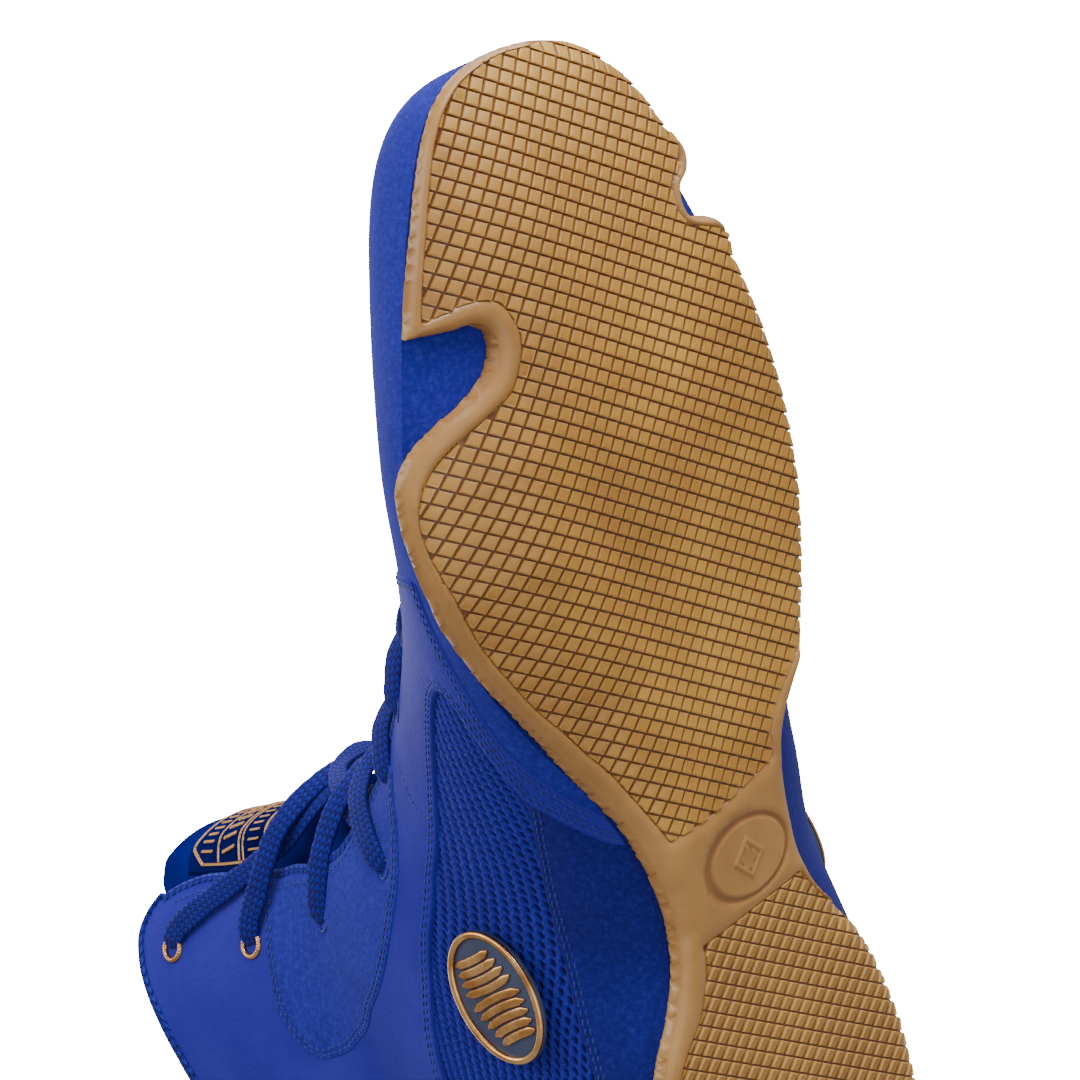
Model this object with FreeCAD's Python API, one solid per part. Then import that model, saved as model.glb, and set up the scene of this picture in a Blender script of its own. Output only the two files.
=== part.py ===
import FreeCAD, Part
import math
import os
import Sketcher

# Left boxing boot, millimetres.
# +Y points to the heel, -X to the medial (inner) side, +Z up.  The origin is on
# the ground plane under the middle of the foot, on the flat of the outsole.

os.makedirs("parts", exist_ok=True)
doc = FreeCAD.newDocument("BoxingBoot")
V = FreeCAD.Vector

# ---------------------------------------------------------------- spreadsheet
sheet = doc.addObject("Spreadsheet::Sheet", "Sizes")
CELLS = [
    ("upper_thick", 1.4), ("lining_gap", 2.8), ("lining_thick", 0.9),
    ("collar_depth", 6.4), ("overlay_gap", 0.12), ("overlay_thick", 0.9),
    ("sole_medial_thick", 2.9), ("sole_thick", 4.6), ("midsole_thick", 3.0),
    ("board_thick", 1.2), ("liner_thick", 3.0), ("slab_gap", 0.25),
    ("grommet_outer", 6.4), ("grommet_bore", 3.9), ("grommet_flange", 0.8),
    ("grommet_barrel", 4.7), ("grommet_depth", 4.2),
    ("hole_clear", 5.0), ("lace_width", 5.4), ("lace_thick", 1.3),
    ("aglet_outer", 2.9), ("aglet_bore", 2.3), ("aglet_length", 18.0),
    ("badge_long", 29.0), ("badge_short", 20.0), ("badge_thick", 1.1),
    ("badge_rim_width", 1.5), ("badge_rim_height", 0.7),
    ("tongue_face_thick", 1.2), ("tongue_foam_thick", 3.6),
    ("tongue_lining_thick", 0.9), ("flex_axis_y", -50.0),
]
for i, (name, val) in enumerate(CELLS):
    sheet.set("A%d" % (i + 1), name)
    sheet.set("B%d" % (i + 1), str(val))
    sheet.setAlias("B%d" % (i + 1), name)
doc.recompute()


def val(name):
    return float(sheet.get(name))


# ---------------------------------------------------------------- last shape
# Each station is one rib of the upper, from the sole edge (or the back seam)
# to the front ridge: medial foot, lateral foot, ridge, outward lean of each
# foot, sideways turn of the foot, and the four handle lengths.
ST = [
    ((-15,-142.3,17.0),(4,-141.6,17.1),(-5,-142.6,18.0),0,0,0, 1,7,1,7),
    ((-22,-139.3,16.9),(9.5,-139.4,16.9),(-5.5,-139.8,26.5),0,0,0, 8,13,6,11),
    ((-27.5,-134.5,16.8),(15.3,-134.8,15.95),(-6,-134.6,33.0),0,0,0, 13,16,10,13),
    ((-32.2,-127,16.8),(20.3,-127.2,14.2),(-6.5,-127,38.5),0,0,0, 15,18,13,16),
    ((-36.6,-117,16.9),(24.6,-117,12.15),(-7,-117,42.5),0,2,0, 14,20,16,19),
    ((-41.5,-104,16.9),(28.6,-104,9.95),(-7.5,-104,45.5),0,5,0, 12,21,19,21),
    ((-46.5,-89,16.5),(32.6,-89,7.55),(-8,-89,47.2),0,8,0, 11,22,22,23),
    ((-51.5,-70,15.9),(36.0,-70,5.6),(-8,-71,49.2),0,10,0, 11,21,24,25),
    ((-51.0,-50,15.3),(36.8,-50,5.05),(-7,-53,54),0,10,0, 12,21,26,26),
    ((-45.0,-32,14.6),(34.5,-32,5.0),(-6,-36,61.5),10,22,0, 17,20,30,27),
    ((-36.5,-15,12.5),(28.5,-14,5.0),(-5,-19,71.2),32,50,0, 25,21,38,27),
    ((-27.0,1,9.0),(19.5,0,5.0),(-4,-4,80.8),57,78,0, 31,22,51,27),
    ((-21.0,18,6.5),(16.3,16,5.0),(-3,7,89.4),66,84,0, 34,23,54,28),
    ((-20.5,36,5.5),(18.5,34,5.0),(-2,13.5,97.3),60,82,0, 36,28,50,32),
    ((-31.5,54,5.2),(30.5,54,5.2),(-1.5,16.8,103.5),33,52,0, 32,36,36,37),
    ((-36.5,80,5.0),(37.5,80,5.3),(-1.2,18.8,108),12,12,0, 31,40,31,40),
    ((-35.5,106,5.0),(36.0,106,5.3),(-1,20.5,112),12,12,4, 28,44,28,44),
    ((-27.5,130,5.0),(28.5,130,5.4),(-0.8,22.2,116.5),12,12,20, 26,46,26,46),
    ((-13,143,5.2),(13,143,5.6),(-0.6,24.2,122),8,8,48, 31,46,31,46),
    ((0,145.2,25),(0,145.2,25),(-0.5,27.0,129.5),0,0,90, 42,46,42,46),
    ((0,142.0,52),(0,142.0,52),(-0.4,30.0,138),0,0,90, 44,46,44,46),
    ((0,134.5,82),(0,134.5,82),(-0.3,32.6,147),0,0,90, 46,46,46,46),
    ((0,130.0,110),(0,130.0,110),(-0.2,35,155.5),0,0,90, 47,46,47,46),
    ((0,129.0,136),(0,129.0,136),(0,37.4,164),0,0,90, 48,47,48,47),
    ((0,130.0,156),(0,130.0,156),(0,40,172),0,0,90, 48,47,48,47),
]
NST = len(ST)


def _ribs(side):
    """Four control points of every rib on one side."""
    k = 0 if side < 0 else 1
    feet = [r[k] for r in ST]
    out = []
    for i, row in enumerate(ST):
        f, ridge, psi, turn = row[k], row[2], row[3 + k], row[5]
        lf, lr = (row[6], row[7]) if side < 0 else (row[8], row[9])
        a, b = feet[max(i - 1, 0)], feet[min(i + 1, NST - 1)]
        tx, ty = b[0] - a[0], b[1] - a[1]
        n = math.hypot(tx, ty)
        if i >= 19 or n < 1e-6:
            ox, oy = float(side), 0.0
        else:
            ox, oy = ty / n * side, -tx / n * side
            if i == 18:
                ox, oy = 0.78 * side, 0.62
        p, t = math.radians(psi), math.radians(turn)
        d = [math.cos(t) * math.sin(p) * ox + math.sin(t) * side,
             math.cos(t) * math.sin(p) * oy, math.cos(t) * math.cos(p)]
        g = math.sqrt(sum(v * v for v in d))
        out.append([list(f), [f[j] + d[j] / g * lf for j in range(3)],
                    [ridge[0] + side * lr, ridge[1], ridge[2]], list(ridge)])
    # even out the handles where the arch turns into the heel
    for _ in range(2):
        old = [[list(p) for p in r] for r in out]
        for i in range(8, 19):
            for j in (1, 2):
                for c in range(3):
                    out[i][j][c] = 0.25 * old[i - 1][j][c] + 0.5 * old[i][j][c] + 0.25 * old[i + 1][j][c]
    return [sum(r, []) for r in out]


RIBS = {-1: _ribs(-1), 1: _ribs(1)}


def rib(u, side):
    """Control points (12 numbers) of the rib at station u."""
    q = RIBS[side]
    u = min(max(u, 0.0), NST - 1.0)
    i = min(int(u), NST - 2)
    f = u - i
    p1, p2 = q[i], q[i + 1]
    p0 = q[i - 1] if i > 0 else [2 * a - b for a, b in zip(p1, p2)]
    p3 = q[i + 2] if i + 2 < NST else [2 * b - a for a, b in zip(p1, p2)]
    return [0.5 * (2 * b + (-a + c) * f + (2 * a - 5 * b + 4 * c - d) * f * f
                   + (-a + 3 * b - 3 * c + d) * f ** 3)
            for a, b, c, d in zip(p0, p1, p2, p3)]


def surf(u, s, side):
    q = rib(u, side)
    c = 1.0 - s
    k0, k1, k2, k3 = c * c * c, 3 * c * c * s, 3 * c * s * s, s * s * s
    return [k0 * q[i] + k1 * q[3 + i] + k2 * q[6 + i] + k3 * q[9 + i] for i in range(3)]


def normal(u, s, side):
    e = 0.02
    u0, u1 = max(u - e, 0.0), min(u + e, NST - 1.0)
    s0, s1 = max(s - e, 0.0), min(s + e, 1.0)
    p, q = surf(u0, s, side), surf(u1, s, side)
    g, h_ = surf(u, s0, side), surf(u, s1, side)
    a = [q[i] - p[i] for i in range(3)]
    b = [h_[i] - g[i] for i in range(3)]
    n = [a[1] * b[2] - a[2] * b[1], a[2] * b[0] - a[0] * b[2], a[0] * b[1] - a[1] * b[0]]
    m = math.sqrt(sum(v * v for v in n)) or 1.0
    return [v / m * side for v in n]


def off(u, s, side, o):
    p = surf(u, s, side)
    n = normal(u, s, side)
    return V(p[0] + n[0] * o, p[1] + n[1] * o, p[2] + n[2] * o)


def lerp(x, table):
    if x <= table[0][0]:
        return table[0][1]
    for (a, b), (c, d) in zip(table, table[1:]):
        if x <= c:
            return b + (d - b) * (x - a) / (c - a)
    return table[-1][1]


def smooth(x, table, w=0.25):
    return (lerp(x - w, table) + 2 * lerp(x, table) + lerp(x + w, table)) / 4.0


def skin(rows):
    s = Part.BSplineSurface()
    s.interpolate(rows)
    return s


def closed(top, bot):
    """Solid between two point grids of the same size."""
    st, sb = skin(top), skin(bot)
    faces = [st.toShape(), sb.toShape()]
    ut0, ut1, vt0, vt1 = st.bounds()
    ub0, ub1, vb0, vb1 = sb.bounds()
    for a, b in (((st.uIso(ut0)), sb.uIso(ub0)), (st.uIso(ut1), sb.uIso(ub1)),
                 (st.vIso(vt0), sb.vIso(vb0)), (st.vIso(vt1), sb.vIso(vb1))):
        faces.append(Part.makeRuledSurface(a.toShape(), b.toShape()))
    shell = Part.makeShell(faces)
    shell.sewShape(1e-3)
    sol = Part.makeSolid(shell)
    if sol.Volume < 0:
        sol.reverse()
    if not sol.isValid():
        sol.fix(1e-3, 1e-3, 1e-3)
    return sol


def cuts(a, b, n):
    return [a + (b - a) * i / (n - 1.0) for i in range(n)]


def panel(side, u0, u1, lo, hi, outer, inner, nu, ns):
    """A panel on one side: u0..u1 along the boot, lo(u)..hi(u) up each rib."""
    top, bot = [], []
    for u in cuts(u0, u1, nu):
        a, b = lo(u), hi(u)
        top.append([off(u, s, side, outer(u, s)) for s in cuts(a, b, ns)])
        bot.append([off(u, s, side, inner(u, s)) for s in cuts(a, b, ns)])
    return closed(top, bot)


def across(u0, u1, edge, outer, inner, nu, ns):
    """A panel over the ridge; edge(u, side) is its lower limit on each side."""
    top, bot = [], []
    for u in cuts(u0, u1, nu):
        rt, rb = [], []
        for k in cuts(-1.0, 1.0, ns):
            side = -1 if k < 0 else 1
            e = edge(u, side)
            s = 1.0 - abs(k) * (1.0 - e)
            rt.append(off(u, s, side, outer(u, s)))
            rb.append(off(u, s, side, inner(u, s)))
        top.append(rt)
        bot.append(rb)
    return closed(top, bot)


def behind(u0, u1, edge, outer, inner, nu, ns):
    """A strip over the back seam; edge(u) is how far it reaches on each side."""
    top, bot = [], []
    for t in cuts(0.0, 1.0, nu):
        rt, rb = [], []
        for k in cuts(-1.0, 1.0, ns):
            side = -1 if k < 0 else 1
            s = abs(k) * edge(0.5 * (u0(0) + u1(0)))
            u = u0(s) + (u1(s) - u0(s)) * t
            rt.append(off(u, s, side, outer(u, s)))
            rb.append(off(u, s, side, inner(u, s)))
        top.append(rt)
        bot.append(rb)
    return closed(top, bot)


PIECES = []


def feature(label, shape):
    o = doc.addObject("Part::Feature", label)
    o.Label = label
    o.Shape = shape
    PIECES.append(o)
    return o


# ------------------------------------------------------------------ panel edges
UP = val("upper_thick")
OV0, OV1 = val("overlay_gap"), val("overlay_gap") + val("overlay_thick")
TOP = 23.35                      # rib at the top line, at the front corner
EDGE = [(8.6, 0.80), (10.0, 0.80), (11.5, 0.79), (13.0, 0.75), (14.2, 0.745), (16.0, 0.80),
        (18.0, 0.83), (20.0, 0.838), (21.5, 0.836), (22.4, 0.82), (22.9, 0.80), (24.0, 0.77)]
MESH_TOP = [(8.7, 0.235), (9.45, 0.281), (9.95, 0.35), (10.8, 0.44), (12.45, 0.485), (14.2, 0.42),
            (15.3, 0.40), (16.6, 0.36), (17.6, 0.28), (18.4, 0.16), (19.0, 0.05), (19.4, 0.004)]
MESH_LOW = [(9.3, 0.215), (9.7, 0.175), (10.05, 0.163), (10.65, 0.150), (11.2, 0.185), (11.85, 0.213),
            (12.8, 0.205), (13.3, 0.188), (13.8, 0.14), (14.2, 0.115), (15.2, 0.10), (16.2, 0.14), (17.0, 0.22)]
BAND_TOP = [(8.7, 0.19), (9.25, 0.212), (9.7, 0.172), (10.05, 0.160), (10.65, 0.142), (10.9, 0.113), (11.3, 0.06)]
COLLAR = [(0.0, -0.25), (0.15, -0.45), (0.35, -0.72), (0.5, -0.80), (0.6, -0.45), (0.68, -0.08), (0.74, 0.0), (0.86, 0.0)]


def edge_s(u):
    return smooth(u, EDGE)


def mesh_top(u):
    return smooth(u, MESH_TOP, 0.15)


def mesh_low(u):
    return smooth(u, MESH_LOW, 0.12)


def band_top(u):
    return smooth(u, BAND_TOP, 0.1)


def top_u(s):
    return TOP + smooth(s, COLLAR, 0.04)


def lining_out(u, s):
    base = -val("lining_gap")
    deep = -val("collar_depth")
    k = min(max((u - 19.6) / 1.0, 0.0), 1.0)
    k = k * k * (3 - 2 * k)
    m = min(max((0.70 - s) / 0.10, 0.0), 1.0)
    return base + (deep - base) * k * m


def tongue_off(u, s):
    # flush with the ridge between the lace rows, tucked under the quarters
    e = edge_s(min(u, 22.9))
    k = min(max((s - (e + 0.015)) / 0.09, 0.0), 1.0)
    k = k * k * (3 - 2 * k)
    return -4.9 + (4.9 - 0.9) * k


# ------------------------------------------------------------------ sole slabs
XE = [(-150, -5), (-143, -14), (-138.5, -23), (-133, -28.5), (-126, -32.8), (-117, -36.6), (-104, -41.5),
      (-89, -46.5), (-70, -51.8), (-50, -51.2), (-32, -45.0), (-15, -36.5), (1, -27.0), (12, -22.4), (22, -20.2),
      (32, -20.2), (45, -25.4), (56, -32.5), (75, -36.2), (100, -35.8), (125, -29.5), (140, -17)]
CURL = [(-150, 0.2), (-142, 0.5), (-130, 3.2), (-117, 5.9), (-104, 8.6), (-89, 10.7), (-70, 12.0), (-50, 12.0),
        (-32, 11.4), (-15, 9.2), (1, 5.9), (18, 3.1), (36, 1.7), (54, 1.2), (80, 0.8), (150, 0.8)]
BANDW = [(-150, 16), (-120, 27), (-100, 35), (-20, 35), (5, 18), (20, 10), (45, 8), (150, 8)]
THIN = [(-143, 0.55), (-125, 0.80), (-105, 1.0)]
FLATCUT = 0.45


def ground(x, y):
    """Height of the tread face over the ground."""
    spring = 15.0 * ((-y - 50) / 93.0) ** 2 if y < -50 else 0.0
    w = lerp(y, BANDW)
    k = min(max(1 - (x - lerp(y, XE)) / w, 0.0), 1.15)
    return spring + lerp(y, CURL) * k * k


def sole_thick(x, y):
    k = min(max((x - lerp(y, XE)) / 26.0, 0.0), 1.0)
    t = val("sole_medial_thick") + (val("sole_thick") - val("sole_medial_thick")) * k
    return t * lerp(y, THIN)


MED = [(-43.6, -99.0), (-42.3, -102.3), (-39.8, -109.2), (-36.3, -117.7), (-32.5, -126.1), (-28.1, -133.4),
       (-23.9, -137.9), (-18.6, -141.0), (-12.2, -142.6), (-5.2, -142.9), (3.6, -141.9)]
LAT = [(11.5, -139.3), (16.8, -135.8), (21.6, -130.4), (24.8, -124.8), (27.0, -118.6), (28.7, -112.6),
       (27.6, -109.6), (24.6, -107.3), (23.6, -104.3), (24.6, -101.3), (27.6, -99.9), (31.2, -98.6),
       (33.2, -91.5), (34.6, -84.4), (35.9, -76.8), (36.6, -69.2), (37.3, -60.7), (37.5, -52.2), (36.9, -42.0),
       (35.0, -32.1), (31.8, -20.5), (28.3, -11.0), (23.4, -4.4), (19.8, 0.4), (17.3, 5.5), (16.2, 12.5), (15.9, 21.2),
       (16.4, 28.6), (18.6, 36.0), (24.0, 43.5), (29.0, 50.5), (32.0, 57.5), (34.4, 65.4), (36.6, 75.1),
       (37.8, 89.5), (37.2, 103), (34.2, 117), (27.5, 131), (16.0, 141.5), (0.0, 145.6)]
BACK = [(-15.5, 141.8), (-26.8, 131.5), (-33.3, 117), (-36.0, 103), (-36.8, 88), (-35.9, 72), (-33.4, 61),
        (-29.6, 53.4), (-25.2, 47.0), (-21.8, 40.4), (-19.9, 34.0), (-19.3, 28.0), (-19.9, 21.0), (-21.4, 14),
        (-23.6, 7.0), (-27.2, 0.2), (-31.0, -6.4), (-36.0, -15.9), (-40.5, -23.8), (-44.1, -30.0), (-47.6, -37.7),
        (-50.9, -46.0), (-53.0, -57.4), (-53.6, -66.0), (-52.9, -72.4), (-49.8, -77.6), (-44.0, -81.7),
        (-37.4, -84.8), (-32.1, -88.4), (-29.4, -92.6), (-29.3, -96.2), (-31.6, -98.2), (-36.4, -98.4)]


def slab(x0, x1, y0, y1, low, high, nx, ny):
    top, bot = [], []
    for y in cuts(y0, y1, ny):
        top.append([V(x, y, high(x, y)) for x in cuts(x0, x1, nx)])
        bot.append([V(x, y, low(x, y)) for x in cuts(x0, x1, nx)])
    return closed(top, bot)


def outline(points, z0, z1, corner=True):
    pts = [V(x, y, z0) for x, y in points]
    c = Part.BSplineCurve()
    if corner:
        c.interpolate(pts + [pts[0]])
    else:
        c.interpolate(pts, PeriodicFlag=True)
    w = Part.Wire([c.toShape()])
    return Part.Face(w).extrude(V(0, 0, z1 - z0))


def one(shape):
    s = sorted(shape.Solids, key=lambda k: -k.Volume)
    return s[0]


G = val("slab_gap")
blank = slab(-62, 48, -150, 152,
             lambda x, y: ground(x, y) - FLATCUT,
             lambda x, y: ground(x, y) + sole_thick(x, y), 34, 76)
outsole = one(blank.common(outline(MED + LAT + BACK, -5.0, 60.0)))
outsole = one(outsole.cut(Part.makeBox(200, 400, 10, V(-100, -200, -10))))
feature("outsole", outsole)


def inner_outline(inset, y0, y1):
    """Outline inside the upper: inset from the feather line, rounded ends."""
    left, right = [], []
    for u in [2.6 + 0.6 * i for i in range(26)]:
        q, r = rib(u, -1), rib(u, 1)
        left.append((q[0], q[1]))
        right.append((r[0], r[1]))
    left.sort(key=lambda p: p[1])
    right.sort(key=lambda p: p[1])
    lt = [(p[1], p[0]) for p in left]
    rt = [(p[1], p[0]) for p in right]
    ml, mr = [], []
    for y in cuts(y0, y1, 30):
        # elliptical ends
        a = min(1.0, (y - y0) / 26.0)
        b = min(1.0, (y1 - y) / 30.0)
        k = math.sqrt(max(0.0, 1 - (1 - a) ** 2)) * math.sqrt(max(0.0, 1 - (1 - b) ** 2))
        xl, xr = lerp(y, lt) + inset, lerp(y, rt) - inset
        c = 0.5 * (xl + xr)
        ml.append((c + (xl - c) * k, y))
        mr.append((c + (xr - c) * k, y))
    return mr[1:-1] + [(0.5 * (mr[-1][0] + ml[-1][0]), y1)] + ml[1:-1][::-1] + [(0.5 * (mr[0][0] + ml[0][0]), y0)]


def layer(label, base, thick, inset, y0, y1):
    f = lambda x, y: ground(max(x, lerp(y, XE) + 2), y) + sole_thick(x, y)
    s = slab(-58, 44, -146, 148, lambda x, y: f(x, y) + base, lambda x, y: f(x, y) + base + thick, 26, 50)
    s = one(s.common(outline(inner_outline(inset, y0, y1), -5.0, 70.0, False)))
    feature(label, s)
    return base + thick


b = layer("midsole", G, val("midsole_thick"), 5.2, -131.0, 137.0)
b = layer("insole_board", b + G, val("board_thick"), 6.0, -128.5, 136.0)
b = layer("sockliner", b + G, val("liner_thick"), 6.8, -126.0, 135.0)

# ------------------------------------------------------------------ upper
zero = lambda u, s: 0.0
skin_in = lambda u, s: -UP
vamp = across(0.0, 8.55, lambda u, side: 0.0, zero, skin_in, 40, 33)
toe_puff = across(1.0, 4.2, lambda u, side: 0.04, lambda u, s: -UP - 0.2, lambda u, s: -UP - 0.9, 16, 25)
vamp_lining = across(0.7, 8.5, lambda u, side: 0.02, lambda u, s: -val("lining_gap"),
                     lambda u, s: -val("lining_gap") - val("lining_thick"), 34, 29)

HOLES = [(22.5, 0.713), (20.3, 0.731), (16.9, 0.727), (13.3, 0.600), (11.7, 0.70), (10.5, 0.71), (9.4, 0.70)]


def bore(u, s, side, d, r):
    p, n = off(u, s, side, -d), normal(u, s, side)
    return Part.makeCylinder(r, 2 * d, p, V(*n))


names = {-1: "medial", 1: "lateral"}
panels = {}
for side in (-1, 1):
    nm = names[side]
    # leather quarter with the eyelet row, cut along the top line
    top, bot = [], []
    us = cuts(8.62, 1.0, 2)
    rows_t, rows_b = [], []
    NU, NS = 46, 15
    for i in range(NU):
        f = i / (NU - 1.0)
        rt, rb = [], []
        u_mid = 8.62 + (TOP - 8.62) * f
        for k in range(NS):
            g = k / (NS - 1.0)
            # ribs near the top are warped down to follow the top line
            s_try = 0.004 + g * 0.83
            lim = top_u(s_try)
            u = 8.62 + (lim - 8.62) * f
            a, c = mesh_top(u) if u < 19.4 else 0.004, edge_s(u)
            s = a + (c - a) * g
            rt.append(off(u, s, side, 0.0))
            rb.append(off(u, s, side, -UP))
        rows_t.append(rt)
        rows_b.append(rb)
    q = closed(rows_t, rows_b)
    print(nm, "quarter raw", q.isValid(), q.Volume)
    for k in range(3):
        q = one(q.cut(bore(HOLES[k][0], HOLES[k][1], side, 4.0, val("hole_clear") / 2.0)))
        print(k, q.isValid(), len(q.Faces), q.Volume)
    panels[nm + "_quarter"] = q
    panels[nm + "_mesh_panel"] = panel(side, 9.42, 16.9, lambda u: mesh_low(u) + 0.006, lambda u: max(mesh_top(u) - 0.008, mesh_low(u) + 0.03),
                                       lambda u, s: -0.35, lambda u, s: -1.15, 34, 12)
    panels[nm + "_band"] = panel(side, 8.62, 10.62, lambda u: 0.0, lambda u: band_top(u) - 0.004, zero, skin_in, 18, 9)
    panels[nm + "_heel_panel"] = panel(side, 10.7, 18.95, lambda u: 0.0 if u < 18 else 0.006 * (u - 18),
                                       lambda u: (mesh_low(u) if u < 16.9 else mesh_top(u)) - 0.006, zero, skin_in, 44, 11)
    # suede reinforcement round the middle eyelets, on the quarter
    PT = [(11.4, 0.62), (12.2, 0.56), (13.45, 0.537), (14.5, 0.53), (15.5, 0.55), (17.0, 0.585), (18.5, 0.60), (19.3, 0.625), (19.55, 0.68)]
    patch = panel(side, 11.5, 19.4, lambda u: smooth(u, PT, 0.5), lambda u: edge_s(u) - 0.035,
                  lambda u, s: OV1, lambda u, s: OV0, 44, 14)
    for u, v in HOLES[2:3]:
        patch = one(patch.cut(bore(u, v, side, 4.0, val("hole_clear") / 2.0)))
    panels[nm + "_eyelet_patch"] = patch
    panels[nm + "_eyestay_binding"] = panel(side, 13.2, 22.75, lambda u: edge_s(u) - 0.030, lambda u: edge_s(u) - 0.002,
                                            lambda u, s: 0.8, lambda u, s: OV0, 36, 5)
    lin = panel(side, 8.62, 22.55, lambda u: 0.03 if u < 18 else 0.03 - 0.018 * min(1, u - 18),
                lambda u: edge_s(u) - 0.045, lining_out, lambda u, s: lining_out(u, s) - val("lining_thick"), 44, 18)
    for u, v in HOLES[:3]:
        lin = one(lin.cut(bore(u, v, side, 9.0, val("hole_clear") / 2.0)))
    panels[nm + "_lining"] = lin
    foam = panel(side, 20.85, 22.5, lambda u: 0.01, lambda u: 0.60,
                 lambda u, s: -UP - 0.2, lambda u, s: min(lining_out(u, s) + 0.2, -UP - 0.6), 14, 14)
    panels[nm + "_collar_foam"] = foam

feature("vamp", vamp)
feature("toe_puff", toe_puff)
feature("vamp_lining", vamp_lining)
for k in sorted(panels):
    feature(k, one(panels[k]))

# the heel counter is a cup: bottom and top edges as (|k|, u, s) round the heel
CB = [(0.0, 19.0, 0.0), (0.15, 18.75, 0.02), (0.3, 18.35, 0.02), (0.6, 17.3, 0.02), (1.0, 15.7, 0.02)]
CT = [(0.0, 20.5, 0.0), (0.15, 20.35, 0.05), (0.3, 19.9, 0.13), (0.6, 18.3, 0.27), (1.0, 16.1, 0.25)]


def cup(o):
    rows = []
    for t in cuts(0.0, 1.0, 9):
        r = []
        for k in cuts(-1.0, 1.0, 31):
            m, side = abs(k), (-1 if k < 0 else 1)
            ub, sb = smooth(m, [c[:2] for c in CB], 0.05), smooth(m, [(c[0], c[2]) for c in CB], 0.0)
            ut, st = smooth(m, [c[:2] for c in CT], 0.05), smooth(m, [(c[0], c[2]) for c in CT], 0.0)
            r.append(off(ub + (ut - ub) * t, sb + (st - sb) * t, side, o))
        rows.append(r)
    return rows


counter = closed(cup(-UP - 0.2), cup(-UP - 0.9))
feature("heel_counter", counter)
feature("backstay", behind(lambda s: 19.25, lambda s: 22.55, lambda u: 0.05,
                           lambda u, s: OV1, lambda u, s: OV0, 20, 9))
feature("collar_binding", behind(lambda s: top_u(s) + 0.13, lambda s: top_u(s) + 0.36, lambda u: 0.80,
                                 lambda u, s: 0.9, lambda u, s: -2.6, 5, 61))

# ------------------------------------------------------------------ tongue
TE = [(9.0, 0.84), (10.5, 0.80), (12.5, 0.72), (14.5, 0.70), (16.5, 0.73), (18.5, 0.76), (22.0, 0.775), (24.0, 0.80)]
tongue_edge = lambda u, side: smooth(u, TE)
t1 = val("tongue_face_thick")
t2 = t1 + 0.22 + val("tongue_foam_thick")
t3 = t2 + 0.22 + val("tongue_lining_thick")
feature("tongue_face", across(8.95, 23.9, tongue_edge, tongue_off, lambda u, s: tongue_off(u, s) - t1, 46, 27))
feature("tongue_foam", across(9.6, 23.6, lambda u, sd: tongue_edge(u, sd) + 0.01,
                              lambda u, s: tongue_off(u, s) - t1 - 0.22, lambda u, s: tongue_off(u, s) - t2, 44, 25))
feature("tongue_lining", across(9.2, 23.8, tongue_edge,
                                lambda u, s: tongue_off(u, s) - t2 - 0.22, lambda u, s: tongue_off(u, s) - t3, 44, 25))
feature("tongue_label", across(19.7, 22.75, lambda u, sd: 0.86, lambda u, s: tongue_off(u, s) + 1.1,
                               lambda u, s: tongue_off(u, s) + 0.5, 14, 15))

# ------------------------------------------------------------------ lace
# One flat lace, threaded crosswise: each strand leaves an eyelet, crosses the
# tongue and reaches the next lower eyelet on the other side.
LW, LT = val("lace_width"), val("lace_thick")


def strip(top, bot):
    faces = []

    def quad(a, b, c, d):
        faces.append(Part.Face(Part.makePolygon([a, b, c, a])))
        faces.append(Part.Face(Part.makePolygon([a, c, d, a])))
    for i in range(len(top) - 1):
        quad(top[i][0], top[i][1], top[i + 1][1], top[i + 1][0])
        quad(bot[i][0], bot[i + 1][0], bot[i + 1][1], bot[i][1])
        quad(top[i][0], top[i + 1][0], bot[i + 1][0], bot[i][0])
        quad(top[i][1], bot[i][1], bot[i + 1][1], top[i + 1][1])
    quad(top[0][0], bot[0][0], bot[0][1], top[0][1])
    quad(top[-1][0], top[-1][1], bot[-1][1], bot[-1][0])
    sh = Part.makeShell(faces)
    sh.sewShape(1e-4)
    sol = Part.makeSolid(sh)
    if sol.Volume < 0:
        sol.reverse()
    return sol


def ribbon(pts, nrm, wide, thick):
    top, bot = [], []
    for i, p in enumerate(pts):
        t = (pts[min(i + 1, len(pts) - 1)] - pts[max(i - 1, 0)]).normalize()
        n = nrm[i]
        sv = t.cross(n).normalize()
        n = sv.cross(t).normalize()
        w, h_ = sv * (wide / 2.0), n * (thick / 2.0)
        top.append([p + w + h_, p - w + h_])
        bot.append([p + w - h_, p - w - h_])
    return strip(top, bot)


def strand(a, b, lift, t1):
    """Flat strand over the tongue from eyelet a to just short of eyelet b."""
    (sa, ia), (sb, ib) = a, b
    (ua, va), (ub, vb) = HOLES[ia], HOLES[ib]
    w = (1 - va) + (1 - vb)
    pts, nrm = [], []
    for t in cuts(0.0, t1, 13):
        d = t * w
        side, s = (sa, va + d) if d < 1 - va else (sb, 1.0 - (d - (1 - va)))
        u = ua + (ub - ua) * t
        e = math.sin(math.pi * t)
        pts.append(off(u, s, side, 1.9 + (lift + 0.9) * e))
        nrm.append(V(*normal(u, s, side)))
    return ribbon(pts, nrm, LW, LT)


n = len(HOLES)
route = [(-1 if i % 2 == 0 else 1, i) for i in range(n)]
route = route + [(-side, i) for side, i in route[::-1]]
lace = []
for k, (a, b) in enumerate(zip(route, route[1:])):
    over = (k % 2 == 1) if k < n else (k % 2 == 0)
    lace.append(strand(a, b, 2.0 if over else 0.0, 1.0 if a[1] == b[1] else 0.84))
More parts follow.
